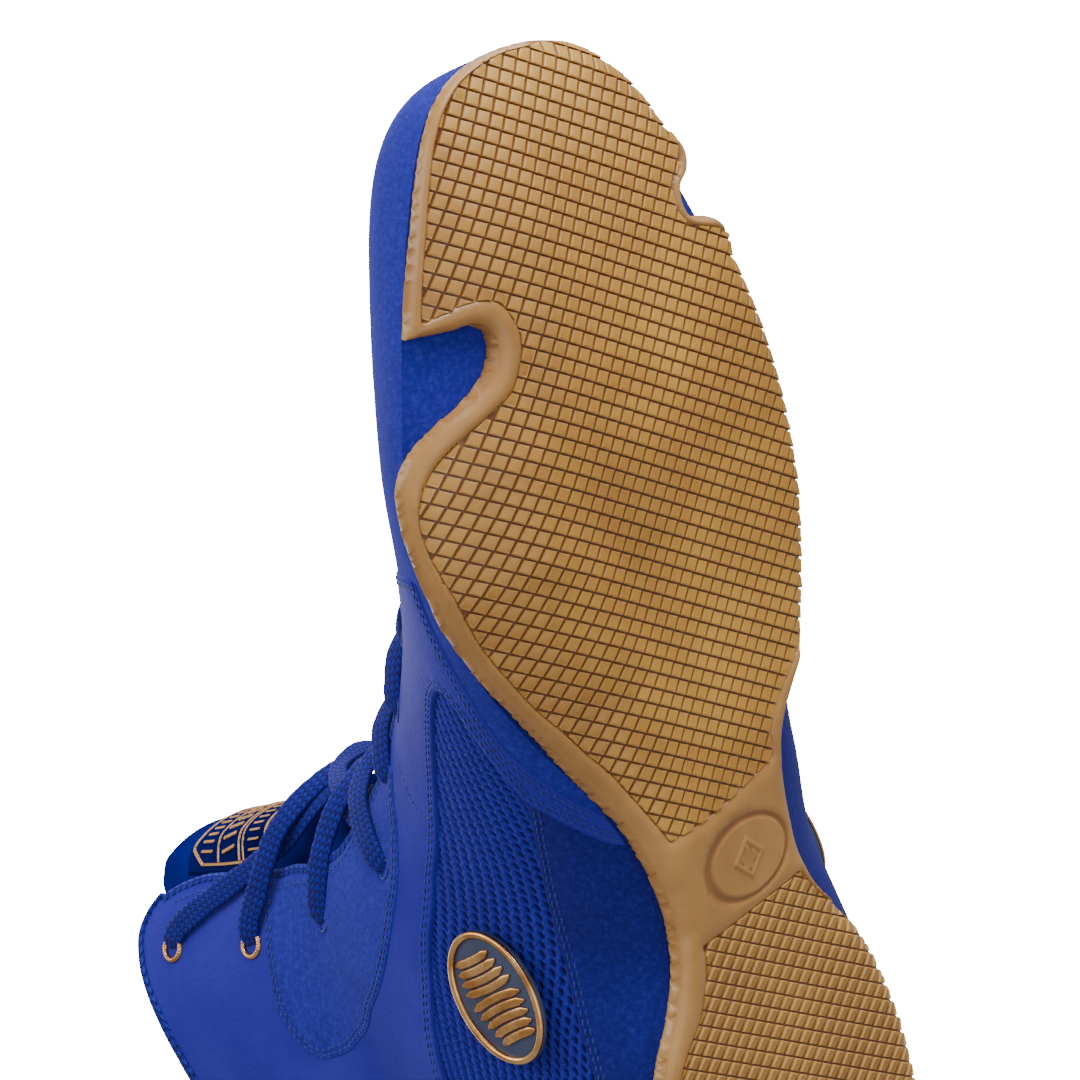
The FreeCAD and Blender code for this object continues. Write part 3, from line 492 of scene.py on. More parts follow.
# ------------------------------------------------------------------ materials
class Mat:
    """Small wrapper that builds a procedural material."""

    def __init__(self, name, rough=0.6, metallic=0.0, spec=0.5, sheen=0.0, coat=0.0, ior=1.5, sss=0.0,
                 sheen_rough=0.4, sheen_tint=None, coat_rough=0.2, sss_radius=None):
        self.m = bpy.data.materials.new(name)
        self.m.use_nodes = True
        self.t = self.m.node_tree
        self.t.nodes.clear()
        self.out = self.t.nodes.new("ShaderNodeOutputMaterial")
        self.b = self.t.nodes.new("ShaderNodeBsdfPrincipled")
        self.t.links.new(self.b.outputs[0], self.out.inputs[0])
        i = self.b.inputs
        i["Roughness"].default_value = rough
        i["Metallic"].default_value = metallic
        i["Specular IOR Level"].default_value = spec
        i["Sheen Weight"].default_value = sheen
        i["Sheen Roughness"].default_value = sheen_rough
        if sheen_tint:
            i["Sheen Tint"].default_value = (*sheen_tint, 1)
        i["Coat Weight"].default_value = coat
        i["Coat Roughness"].default_value = coat_rough
        i["IOR"].default_value = ior
        if sss:
            i["Subsurface Weight"].default_value = sss
            i["Subsurface Radius"].default_value = sss_radius or (1.0, 0.4, 0.15)
            i["Subsurface Scale"].default_value = 0.0012
        self.co = self.node("ShaderNodeTexCoord").outputs["Object"]

    def node(self, kind, **k):
        n = self.t.nodes.new(kind)
        for a, b in k.items():
            setattr(n, a, b)
        return n

    def link(self, a, b):
        self.t.links.new(a, b)

    def noise(self, scale, detail=3.0, rough=0.55, co=None, dist=0.0):
        n = self.node("ShaderNodeTexNoise")
        n.inputs["Scale"].default_value = scale
        n.inputs["Detail"].default_value = detail
        n.inputs["Roughness"].default_value = rough
        n.inputs["Distortion"].default_value = dist
        self.link(co or self.co, n.inputs["Vector"])
        return n.outputs["Fac"]

    def voronoi(self, scale, feature="F1", co=None, rand=1.0):
        n = self.node("ShaderNodeTexVoronoi", feature=feature)
        n.inputs["Scale"].default_value = scale
        n.inputs["Randomness"].default_value = rand
        self.link(co or self.co, n.inputs["Vector"])
        return n.outputs["Distance"]

    def wave(self, scale, co=None, direction="X", dist=0.0, kind="BANDS"):
        n = self.node("ShaderNodeTexWave", wave_type=kind, bands_direction=direction)
        n.inputs["Scale"].default_value = scale
        n.inputs["Distortion"].default_value = dist
        self.link(co or self.co, n.inputs["Vector"])
        return n.outputs["Fac"]

    def stretch(self, sx, sy, sz, co=None, rot=(0, 0, 0)):
        n = self.node("ShaderNodeMapping")
        n.inputs["Scale"].default_value = (sx, sy, sz)
        n.inputs["Rotation"].default_value = rot
        self.link(co or self.co, n.inputs["Vector"])
        return n.outputs[0]

    def ramp(self, fac, stops):
        n = self.node("ShaderNodeValToRGB")
        e = n.color_ramp.elements
        while len(e) < len(stops):
            e.new(0.5)
        for s, (p, c) in zip(e, stops):
            s.position = p
            s.color = (*lin(c), 1) if isinstance(c, (tuple, list)) else (c, c, c, 1)
        self.link(fac, n.inputs[0])
        return n.outputs[0]

    def mix(self, fac, a, b, mode="MIX"):
        n = self.node("ShaderNodeMix", data_type="RGBA", blend_type=mode)
        if isinstance(fac, float):
            n.inputs[0].default_value = fac
        else:
            self.link(fac, n.inputs[0])
        for k, v in ((6, a), (7, b)):
            if isinstance(v, (tuple, list)):
                n.inputs[k].default_value = (*lin(v), 1)
            else:
                self.link(v, n.inputs[k])
        return n.outputs[2]

    def math(self, op, a, b=None, c=None):
        n = self.node("ShaderNodeMath", operation=op)
        for k, v in enumerate((a, b, c)):
            if v is None:
                continue
            if isinstance(v, (int, float)):
                n.inputs[k].default_value = v
            else:
                self.link(v, n.inputs[k])
        return n.outputs[0]

    def attr(self, name):
        return self.node("ShaderNodeAttribute", attribute_name=name).outputs["Fac"]

    def color(self, c):
        self.link(c, self.b.inputs["Base Color"])

    def rough(self, fac, lo, hi):
        n = self.node("ShaderNodeMapRange")
        n.inputs["To Min"].default_value = lo
        n.inputs["To Max"].default_value = hi
        self.link(fac, n.inputs["Value"])
        self.link(n.outputs[0], self.b.inputs["Roughness"])

    def bump(self, *layers):
        """layers: (height, strength, distance in mm), laid one on another."""
        last = None
        for h, st, d in layers:
            n = self.node("ShaderNodeBump")
            n.inputs["Strength"].default_value = st
            n.inputs["Distance"].default_value = d * MM
            self.link(h, n.inputs["Height"])
            if last is not None:
                self.link(last, n.inputs["Normal"])
            last = n.outputs[0]
        self.link(last, self.b.inputs["Normal"])


def lin(c):
    """sRGB 0-255 to linear."""
    r = []
    for v in c:
        v = v / 255.0
        r.append(v / 12.92 if v <= 0.04045 else ((v + 0.055) / 1.055) ** 2.4)
    return tuple(r)


def make_suede(name, dark, mid, light, nap=1.0):
    m = Mat(name, rough=0.95, spec=0.12, sheen=0.16, sheen_rough=0.6, sheen_tint=(0.30, 0.32, 1.0))
    big = m.noise(55, 3, 0.6)
    fine = m.noise(900, 4, 0.75)
    tuft = m.noise(1900, 2, 0.6, dist=0.8)
    a = m.ramp(fine, [(0.30, dark), (0.52, mid), (0.74, light)])
    b = m.ramp(big, [(0.25, dark), (0.5, mid), (0.8, mid)])
    m.color(m.mix(0.35, a, b))
    m.bump((big, 0.15, 0.3), (fine, 0.55 * nap, 0.28), (tuft, 0.45 * nap, 0.16))
    return m.m


def make_leather(name, dark, mid, light, rough=0.62):
    m = Mat(name, rough=rough, spec=0.04)
    cells = m.voronoi(950, "DISTANCE_TO_EDGE")
    cell2 = m.voronoi(430, "SMOOTH_F1")
    fine = m.noise(2600, 3, 0.6)
    big = m.noise(38, 3, 0.55)
    c = m.ramp(big, [(0.25, dark), (0.5, mid), (0.78, light)])
    crease = m.ramp(cells, [(0.0, 0.0), (0.16, 1.0)])
    m.color(m.mix(m.math("MULTIPLY", m.math("SUBTRACT", 1.0, crease), 0.35), c, dark))
    m.rough(fine, rough - 0.07, rough + 0.12)
    m.bump((big, 0.10, 0.5), (cell2, 0.10, 0.18), (crease, 0.30, 0.07), (fine, 0.10, 0.05))
    return m.m


def make_gum(name, dark, mid, light, edge=0.0, rough=0.5):
    m = Mat(name, rough=rough, spec=0.55, sss=0.12, sss_radius=(1.0, 0.45, 0.12), coat=0.12, coat_rough=0.3)
    big = m.noise(24, 4, 0.55)
    med = m.noise(160, 3, 0.6)
    fine = m.noise(2200, 3, 0.65)
    c = m.ramp(big, [(0.28, dark), (0.5, mid), (0.75, light)])
    c = m.mix(m.ramp(med, [(0.35, 0.0), (0.8, 0.30)]), c, light)
    # painted shade: darker, redder in the grooves and hollows, where shadow falls
    g = m.attr("hollow_shade")
    c = m.mix(g, c, (108, 52, 12))
    # painted highlight: a pale rim on one side of each lug's face edge
    c = m.mix(m.attr("edge_highlight"), c, (246, 202, 138))
    m.color(c)
    m.rough(med, rough - 0.06, rough + 0.10)
    m.bump((med, 0.12, 0.12), (fine, 0.22, 0.05))
    return m.m


def make_fabric(name, dark, mid, pitch=0.7, rough=0.85, sheen=0.25):
    m = Mat(name, rough=rough, spec=0.25, sheen=sheen, sheen_rough=0.5)
    k = 1.0 / (pitch * MM) / 6.2832 * 3.1416
    a, b = m.wave(k, direction="X", dist=0.6), m.wave(k, direction="Y", dist=0.6)
    z = m.wave(k, direction="Z", dist=0.6)
    w = m.math("MULTIPLY", m.math("MAXIMUM", a, b), z)
    fine = m.noise(1500, 3, 0.6)
    c = m.ramp(w, [(0.15, dark), (0.75, mid)])
    m.color(m.mix(m.ramp(fine, [(0.3, 0.0), (0.8, 0.4)]), c, dark))
    m.bump((w, 0.4, 0.2), (fine, 0.25, 0.08))
    return m.m


def make_thread(name, dark, mid, scale=1500, rough=0.6, sheen=0.3):
    m = Mat(name, rough=rough, spec=0.35, sheen=sheen, sheen_rough=0.45, sheen_tint=(0.5, 0.6, 1.0))
    f = m.noise(scale, 3, 0.65)
    big = m.noise(120, 2, 0.5)
    c = m.ramp(f, [(0.3, dark), (0.7, mid)])
    m.color(m.mix(m.ramp(big, [(0.35, 0.0), (0.8, 0.35)]), c, dark))
    m.bump((f, 0.4, 0.1))
    return m.m


def make_knit(name, dark, mid):
    """Yarn of the knit window; the vertex mask is 1 in the holes of the knit, which are painted dark navy: the
    backing's colour with painted shade.
    """
    m = Mat(name, rough=0.75, spec=0.18, sheen=0.08, sheen_rough=0.5, sheen_tint=(0.35, 0.4, 1.0))
    f = m.noise(2400, 3, 0.65)
    big = m.noise(70, 2, 0.5)
    c = m.ramp(f, [(0.3, dark), (0.7, mid)])
    c = m.mix(m.ramp(big, [(0.35, 0.0), (0.8, 0.30)]), c, dark)
    # painted shade in the knit holes, close to the dark backing's own colour
    m.color(m.mix(m.attr("hollow_shade"), c, (0, 4, 62)))
    m.bump((f, 0.35, 0.08))
    return m.m


def make_metal(name, dark, mid, rough=0.24):
    m = Mat(name, rough=rough, metallic=1.0)
    f = m.noise(1400, 3, 0.6)
    big = m.noise(180, 3, 0.6)
    m.color(m.ramp(big, [(0.3, dark), (0.65, mid)]))
    m.rough(f, rough - 0.06, rough + 0.14)
    m.bump((f, 0.12, 0.03), (big, 0.1, 0.06))
    return m.m


def make_foam(name, dark, mid):
    m = Mat(name, rough=0.9, spec=0.2)
    c = m.voronoi(1200, "SMOOTH_F1")
    big = m.noise(60, 3, 0.6)
    m.color(m.mix(m.ramp(big, [(0.3, 0.0), (0.8, 0.5)]), m.ramp(c, [(0.1, dark), (0.6, mid)]), mid))
    m.bump((c, 0.5, 0.15))
    return m.m


GUM = make_gum("gum_rubber", (150, 100, 34), (180, 128, 48), (212, 160, 68), rough=0.38)
GUM_RIM = make_gum("gum_rubber_edge", (154, 106, 50), (176, 128, 66), (198, 150, 88), rough=0.36)
SUEDE = make_suede("suede_blue", (22, 20, 112), (36, 38, 150), (60, 66, 182))
SUEDE_D = make_suede("suede_blue_panel", (8, 8, 84), (22, 22, 112), (42, 46, 146), 0.9)
LEATHER = make_leather("leather_blue", (42, 38, 144), (50, 48, 156), (58, 58, 168))
PIPING = make_leather("binding_blue", (14, 16, 104), (30, 34, 136), (44, 50, 158), 0.6)
THREAD = make_thread("thread_blue", (14, 16, 92), (48, 56, 160))
KNIT = make_knit("knit_blue", (14, 10, 108), (48, 46, 180))
MESH_BACK = make_fabric("mesh_backing", (0, 2, 44), (2, 6, 72), 0.6)
LINING = make_fabric("lining_blue", (8, 10, 70), (24, 28, 120), 0.55)
GOLD = make_metal("gold_metal", (190, 126, 64), (238, 186, 122), 0.22)
FOAM = make_foam("foam_grey", (96, 96, 98), (140, 140, 140))
FOAM_B = make_foam("foam_blue", (16, 20, 84), (30, 36, 120))
STIFF = make_fabric("stiffener_board", (118, 104, 80), (160, 146, 118), 0.5)
BOARD = make_fabric("insole_board", (150, 132, 100), (186, 168, 132), 0.45)

def make_braid(name, dark, mid, light, along=1.7, across=1.35, rough=0.62, depth=0.28):
    """Flat woven cord or tape; wu and wv are millimetres along and across it."""
    m = Mat(name, rough=0.78, spec=0.15, sheen=0.08, sheen_rough=0.5, sheen_tint=(0.4, 0.45, 1.0))
    u, v = m.attr("wu"), m.attr("wv")
    c = m.math("FRACT", m.math("DIVIDE", v, across))
    fold = m.math("ABSOLUTE", m.math("SUBTRACT", c, 0.5))
    ph = m.math("ADD", m.math("DIVIDE", u, along), m.math("MULTIPLY", fold, 1.15))
    row = m.math("ABSOLUTE", m.math("SUBTRACT", m.math("FRACT", ph), 0.5))
    col = m.math("MULTIPLY", m.math("ABSOLUTE", m.math("SUBTRACT", m.math("FRACT", m.math("ADD", c, 0.25)), 0.5)), 1.0)
    h = m.math("SUBTRACT", 1.0, m.math("POWER", m.math("MAXIMUM", m.math("MULTIPLY", row, 2.0), m.math("MULTIPLY", fold, 1.7)), 3.0))
    fib = m.noise(2600, 3, 0.7)
    big = m.noise(140, 2, 0.5)
    k = m.ramp(m.math("ADD", m.math("MULTIPLY", h, 0.8), m.math("MULTIPLY", fib, 0.3)), [(0.18, dark), (0.62, mid), (0.98, light)])
    m.color(m.mix(m.ramp(big, [(0.35, 0.0), (0.85, 0.4)]), k, dark))
    m.bump((h, 0.85, depth), (fib, 0.35, 0.06))
    return m.m


def make_satin(name, dark, mid, light, pitch=0.5):
    m = Mat(name, rough=0.65, spec=0.0, sheen=0.02, sheen_rough=0.4, sheen_tint=(0.3, 0.35, 1.0))
    k = 1.0 / (pitch * MM) / 6.2832 * 3.1416
    a, b = m.wave(k, direction="X", dist=0.4), m.wave(k, direction="Z", dist=0.4)
    w = m.math("MAXIMUM", a, m.math("MULTIPLY", b, 0.7))
    big = m.noise(45, 3, 0.5)
    fine = m.noise(1600, 3, 0.6)
    c = m.ramp(big, [(0.25, dark), (0.5, mid), (0.8, light)])
    m.color(m.mix(m.math("MULTIPLY", m.math("SUBTRACT", 1.0, w), 0.4), c, dark))
    m.rough(fine, 0.36, 0.55)
    m.bump((big, 0.15, 0.6), (w, 0.25, 0.08), (fine, 0.2, 0.04))
    return m.m


def make_enamel(name, dark, mid):
    m = Mat(name, rough=0.35, spec=0.5, coat=0.3, coat_rough=0.2)
    big = m.noise(90, 3, 0.5)
    fine = m.noise(1500, 3, 0.6)
    m.color(m.ramp(m.math("ADD", m.math("MULTIPLY", big, 0.7), m.math("MULTIPLY", fine, 0.3)), [(0.3, dark), (0.7, mid)]))
    m.rough(fine, 0.3, 0.48)
    m.bump((fine, 0.12, 0.03))
    return m.m


def make_goldthread(name, dark, mid, light):
    m = Mat(name, rough=0.38, metallic=0.55, spec=0.5)
    f = m.wave(1400, direction="DIAGONAL", dist=1.5)
    n = m.noise(2200, 3, 0.6)
    m.color(m.ramp(m.math("ADD", m.math("MULTIPLY", f, 0.6), m.math("MULTIPLY", n, 0.4)), [(0.2, dark), (0.55, mid), (0.85, light)]))
    m.rough(n, 0.3, 0.5)
    m.bump((f, 0.6, 0.12), (n, 0.3, 0.05))
    return m.m


BRAID = make_braid("lace_braid_blue", (2, 2, 68), (15, 17, 112), (31, 35, 148))
BINDING = make_braid("collar_braid_blue", (4, 4, 80), (24, 26, 130), (46, 52, 172), 2.2, 1.6)
SATIN = make_satin("tongue_satin_navy", (0, 10, 84), (4, 20, 112), (14, 34, 136))
LABEL = make_satin("label_satin_navy", (0, 6, 60), (4, 14, 84), (12, 24, 104), 0.35)
GOLD_T = make_goldthread("gold_thread", (130, 78, 26), (196, 138, 74), (238, 190, 124))
ENAMEL = make_enamel("badge_slate_blue", (46, 54, 84), (60, 70, 100))
AGLET = make_enamel("aglet_film", (24, 36, 104), (44, 60, 140))

# ------------------------------------------------------------------ camera, floor, light
cam = bpy.data.objects.new("camera", bpy.data.cameras.new("camera"))
scene.collection.objects.link(cam)
scene.camera = cam
cam.data.sensor_width = 36.0
cam.data.lens = 4326.0 / 1080.0 * 36.0
cam.data.clip_start, cam.data.clip_end = 0.05, 20.0
CR, CW, CD = (0.68633, 0.19685, -0.70015), (-0.35367, 0.93152, -0.08479), (0.63551, 0.30581, 0.70895)
cx, cz = Vector(CR).normalized(), -Vector(CD).normalized()
cy = cz.cross(cx).normalized()
cx = cy.cross(cz).normalized()
cam.matrix_world = Matrix.Translation(Vector((-545.01, -302.98, -568.71)) * MM) @ Matrix((cx, cy, cz)).transposed().to_4x4()

# The floor is one-sided: seen from below it isn't there, so the sole shows.
fm = bpy.data.materials.new("floor_pale")
fm.use_nodes = True
ft = fm.node_tree
ft.nodes.clear()
fo = ft.nodes.new("ShaderNodeOutputMaterial")
fb = ft.nodes.new("ShaderNodeBsdfPrincipled")
fb.inputs["Base Color"].default_value = (0.80, 0.80, 0.80, 1)
fb.inputs["Roughness"].default_value = 0.8
fx = ft.nodes.new("ShaderNodeBsdfTransparent")
fmix = ft.nodes.new("ShaderNodeMixShader")
fg = ft.nodes.new("ShaderNodeNewGeometry")
ft.links.new(fg.outputs["Backfacing"], fmix.inputs[0])
ft.links.new(fb.outputs[0], fmix.inputs[1])
ft.links.new(fx.outputs[0], fmix.inputs[2])
ft.links.new(fmix.outputs[0], fo.inputs[0])
fme = bpy.data.meshes.new("floor")
fme.from_pydata([(-4, -4, -0.0004), (4, -4, -0.0004), (4, 4, -0.0004), (-4, 4, -0.0004)], [], [(0, 1, 2, 3)])
floor = bpy.data.objects.new("floor", fme)
scene.collection.objects.link(floor)
fme.materials.append(fm)
floor.visible_shadow = False
floor.visible_diffuse = False
floor.visible_glossy = False
floor.visible_transmission = False

world = bpy.data.worlds.new("world")
scene.world = world
world.use_nodes = True
wt = world.node_tree
wt.nodes.clear()
wo = wt.nodes.new("ShaderNodeOutputWorld")
wb = wt.nodes.new("ShaderNodeBackground")
wb.inputs[0].default_value = (1.0, 1.0, 1.0, 1)
wb.inputs[1].default_value = 0.42
wc = wt.nodes.new("ShaderNodeBackground")
wc.inputs[0].default_value = (1.0, 1.0, 1.0, 1)
wc.inputs[1].default_value = 22.0
wl = wt.nodes.new("ShaderNodeLightPath")
wm = wt.nodes.new("ShaderNodeMixShader")
wt.links.new(wl.outputs["Is Camera Ray"], wm.inputs[0])
wt.links.new(wb.outputs[0], wm.inputs[1])
wt.links.new(wc.outputs[0], wm.inputs[2])
wt.links.new(wm.outputs[0], wo.inputs[0])


def lamp(name, at, aim, size, watts, tint=(1, 1, 1)):
    d = bpy.data.lights.new(name, "AREA")
    d.shape = "RECTANGLE"
    d.size, d.size_y = size
    d.energy = watts
    d.color = tint
    o = bpy.data.objects.new(name, d)
    scene.collection.objects.link(o)
    o.location = at
    o.rotation_euler = (Vector(aim) - Vector(at)).to_track_quat("-Z", "Y").to_euler()
    return o


# in the camera's own axes: right, up and towards it
def cam_at(r, u, b):
    c = Vector((-0.005, -0.02, 0.05))
    return c + cx * r + cy * u + cz * b


lamp("key_top", cam_at(0.15, 1.05, 0.45), (0, -0.03, 0.02), (0.9, 0.6), 15)
lamp("side_left", cam_at(-1.0, 0.35, 0.35), (0, -0.03, 0.04), (0.5, 1.0), 7)
lamp("front_fill", cam_at(0.2, 0.0, 1.3), (0, 0, 0.04), (1.2, 1.2), 5)
lamp("room_top", (0.25, 0.35, 1.3), (0, 0, 0.05), (1.2, 1.2), 12)
lamp("room_front", (0.7, -0.9, 0.7), (0, 0, 0.08), (0.8, 0.8), 6)

# ------------------------------------------------------------------ outsole
RELIEF = 1.15                                # depth of the tread grooves

out_line = spline(MED + LAT + BACK, 12)
out_line, _ = resample(np.concatenate([out_line, [MED[0]]])[:-1], 0.75, True)

TREAD_F = spline([(3.4, -141.5), (-5.2, -142.3), (-12.1, -141.8), (-18.1, -140.0), (-23.1, -136.8), (-27.1, -132.5),
                  (-31.3, -125.4), (-35.0, -117.1), (-38.5, -108.7), (-40.2, -103.9)], 6).tolist() \
    + [(-41.1, -101.5)] + spline([(-39.6, -101.6), (-37.2, -101.9), (-32.8, -102.5), (-28.4, -101.9), (-26.2, -100.6),
                  (-25.0, -97.7), (-24.5, -94.9), (-25.4, -91.1), (-27.5, -87.5), (-30.3, -84.3), (-34.5, -82.2),
                  (-39.0, -80.1), (-42.7, -78.2), (-46.1, -76.1), (-48.9, -73.5), (-50.9, -70.3), (-52.1, -65.7),
                  (-51.9, -61.2), (-51.2, -57.4), (-48.7, -48.6), (-45.5, -38.9), (-41.3, -30.4), (-37.1, -22.9),
                  (-32.2, -15.8), (-29.1, -10.7), (-25.8, -6.0), (-22.7, -0.2), (-20.1, 5.0), (-18.0, 9.4)], 6).tolist() \
    + [(-16.8, 12.0)] + spline([(-16.0, 11.95), (-5.0, 11.1), (6.4, 8.7), (13.2, 7.0)], 6).tolist() + [(13.8, 6.8)] \
    + spline([(14.5, 2.0), (16.0, -1.0), (18.4, -4.3), (22.0, -7.5), (25.2, -10.4), (28.6, -14.0), (32.2, -20.8),
              (35.5, -32.3), (37.4, -42.0), (38.0, -52.2), (37.8, -60.7), (37.1, -69.2), (36.4, -76.8), (35.1, -84.4),
              (33.9, -91.0), (32.8, -94.9), (29.9, -97.3), (26.2, -98.9), (22.7, -100.8), (21.6, -104.3),
              (22.7, -108.4), (25.7, -110.9), (27.2, -113.6), (27.3, -118.6), (25.2, -124.9), (22.0, -130.6),
              (17.1, -136.2), (11.7, -139.7), (6.6, -141.3)], 6).tolist()
TREAD_H = [(-14.7, 35.4)] + spline([(-14.0, 35.35), (-5.0, 34.6), (3.7, 33.7), (14.6, 32.5)], 4).tolist() \
    + [(15.3, 32.4)] + spline([(16.4, 34.6), (19.0, 38.4), (24.0, 44.3), (28.7, 51.0), (31.9, 57.6), (34.8, 65.4),
              (37.0, 75.1), (38.2, 89.5), (37.6, 103.0), (34.6, 117.2), (27.8, 131.3), (16.2, 141.9), (0.0, 145.7),
              (-9.0, 143.2), (-15.6, 138.4), (-24.0, 129.0), (-29.8, 115.8), (-32.4, 102.5), (-33.2, 88.0), (-32.4, 73.0),
              (-30.2, 63.0), (-27.1, 57.4), (-23.6, 53.2), (-19.0, 48.6), (-15.6, 41.6), (-14.5, 38.0)], 6).tolist()
TREADS = [np.array(TREAD_F), np.array(TREAD_H)]
lat_line = spline([(3.2, -142.0), (11.5, -139.3), (16.8, -135.8), (21.6, -130.4), (24.8, -124.8), (27.0, -118.6)], 6)
LAT_EDGE = [lat_line, np.array([(33.2, -91.5), (34.6, -84.4), (35.9, -76.8), (36.6, -69.2), (37.3, -60.7), (37.5, -52.2),
                                (36.9, -42.0), (35.0, -32.1), (31.8, -20.5), (28.3, -11.0)]),
            np.array([(24.0, 43.5), (29.0, 50.5), (32.0, 57.5), (34.4, 65.4), (36.6, 75.1), (37.8, 89.5), (37.2, 103),
                      (34.2, 117), (27.5, 131), (16.0, 141.5), (0.0, 145.6), (-9, 144.4)])]


def signed(pts, line):
    """Distance to the closed line, negative outside."""
    d = dist(pts, line)
    return np.where(inside(pts, line), d, -d)


def wrap_up(pts, sd):
    """The tread rolls up round the outer edge of the sole."""
    e = np.min([dist(pts, l, False) for l in LAT_EDGE], 0)
    k = np.clip(1 - np.where(sd < 0, -e, e) / 3.2, 0, 1.4)
    return 1.7 * k * k


OVAL = []


def tread_base(pts):
    """Height of the groove floor and of the smooth parts."""
    pts = np.asarray(pts, float)
    sd = signed(pts, out_line)
    z = floor_z(pts[:, 0], pts[:, 1]) + wrap_up(pts, sd)
    h = np.full(len(pts), 9.0)
    tin = np.zeros(len(pts), bool)
    dt = np.full(len(pts), 1e9)
    for t in TREADS:
        tin |= inside(pts, t)
        dt = np.minimum(dt, dist(pts, t))
    do = np.maximum(sd, 0)
    w = np.clip(do + dt, 1.2, 6.5)
    bead = (0.02 + 1.35 * np.clip(1 - do / (0.56 * w), 0, 1) ** 2.2 + 0.75 * np.clip(1 - dt / (0.44 * w), 0, 1) ** 2.2)
    h = np.where(tin | (dt < 0.06), RELIEF, bead)
    # oval set into the waist, with a plain raised lozenge mark in it
    x, y = pts[:, 0] - 1.42, pts[:, 1] - 23.1
    r = np.hypot(x / 11.56, y / 8.0)
    thick = 0.05 + 0.026 * (1 + np.clip((x + y * 0.6) / -9.0, -0.6, 1))
    h = h + 0.42 * np.exp(-(np.abs(r - 1.0) / thick) ** 4) * (~tin)
    # the oval ring's mask is kept to paint shade into the oval's groove
    OVAL.append(np.exp(-(np.abs(r - 1.0) / thick) ** 4) * (~tin))
    m = np.abs(x) / 4.4 + np.abs(y) / 4.4
    mark = np.where((m < 1.0) & ((m > 0.72) | (np.abs((x + 20) % 1.9 - 0.95) < 0.42) & (m < 0.60)), 1.0, 0.0)
    h = h - 0.34 * mark
    return z, h, tin


def lug_mesh():
    bag = Bag()
    a1, a2 = np.array((2.49, 1.56)), np.array((-2.04, 2.19))
    for ti, poly in enumerate(TREADS):
        area = lambda q: 0.5 * abs(np.sum(q[:, 0] * np.roll(q[:, 1], -1) - q[:, 1] * np.roll(q[:, 0], -1)))
        lo, hi = poly.min(0) - 4, poly.max(0) + 4
        inv = np.linalg.inv(np.stack([a1, a2], 1))
        corners = np.array([(lo[0], lo[1]), (hi[0], lo[1]), (hi[0], hi[1]), (lo[0], hi[1])]) @ inv.T
        i0, i1 = int(corners[:, 0].min()) - 1, int(corners[:, 0].max()) + 2
        j0, j1 = int(corners[:, 1].min()) - 1, int(corners[:, 1].max()) + 2
        cells = []
        for i in range(i0, i1):
            for j in range(j0, j1):
                g, e = 0.135, 0.076
                q = np.array([(i + g, j + e), (i + 1 - g, j + e), (i + 1 - g, j + 1 - e), (i + g, j + 1 - e)])
                p = q[:, :1] * a1 + q[:, 1:] * a2
                if (p.max(0) < lo).any() or (p.min(0) > hi).any():
                    continue
                cells.append((i, j, p))
        allp = np.concatenate([c[2] for c in cells])
        ins = inside(allp, poly).reshape(-1, 4)
        for (i, j, p), k in zip(cells, ins):
            if k.all():
                q = p
            elif k.any() or inside(p.mean(0)[None], poly)[0]:
                q = clip_poly(poly, p)
                if q is None or area(q) < 0.45:
                    continue
            else:
                continue
            cells_q.append((ti, i, j, q))
    return bag


def clip_poly(subject, clip):
    """Part of the (possibly hollow-sided) outline that lies in a convex cell."""
    out = [tuple(v) for v in subject]
    c = clip if np.cross(clip[1] - clip[0], clip[2] - clip[1]) > 0 else clip[::-1]
    for a, b in zip(c, np.roll(c, -1, 0)):
        if not out:
            return None
        res = []
        e = b - a
        for p, q in zip(out, out[1:] + out[:1]):
            sp = e[0] * (p[1] - a[1]) - e[1] * (p[0] - a[0])
            sq = e[0] * (q[1] - a[1]) - e[1] * (q[0] - a[0])
            if sp >= 0:
                res.append(p)
            if (sp >= 0) != (sq >= 0):
                t = sp / (sp - sq)
                res.append((p[0] + (q[0] - p[0]) * t, p[1] + (q[1] - p[1]) * t))
        out = res
    if len(out) < 3:
        return None
    q = np.array(out)
    keep = np.linalg.norm(q - np.roll(q, 1, 0), axis=1) > 0.12
    q = q[keep]
    return q if len(q) >= 3 else None


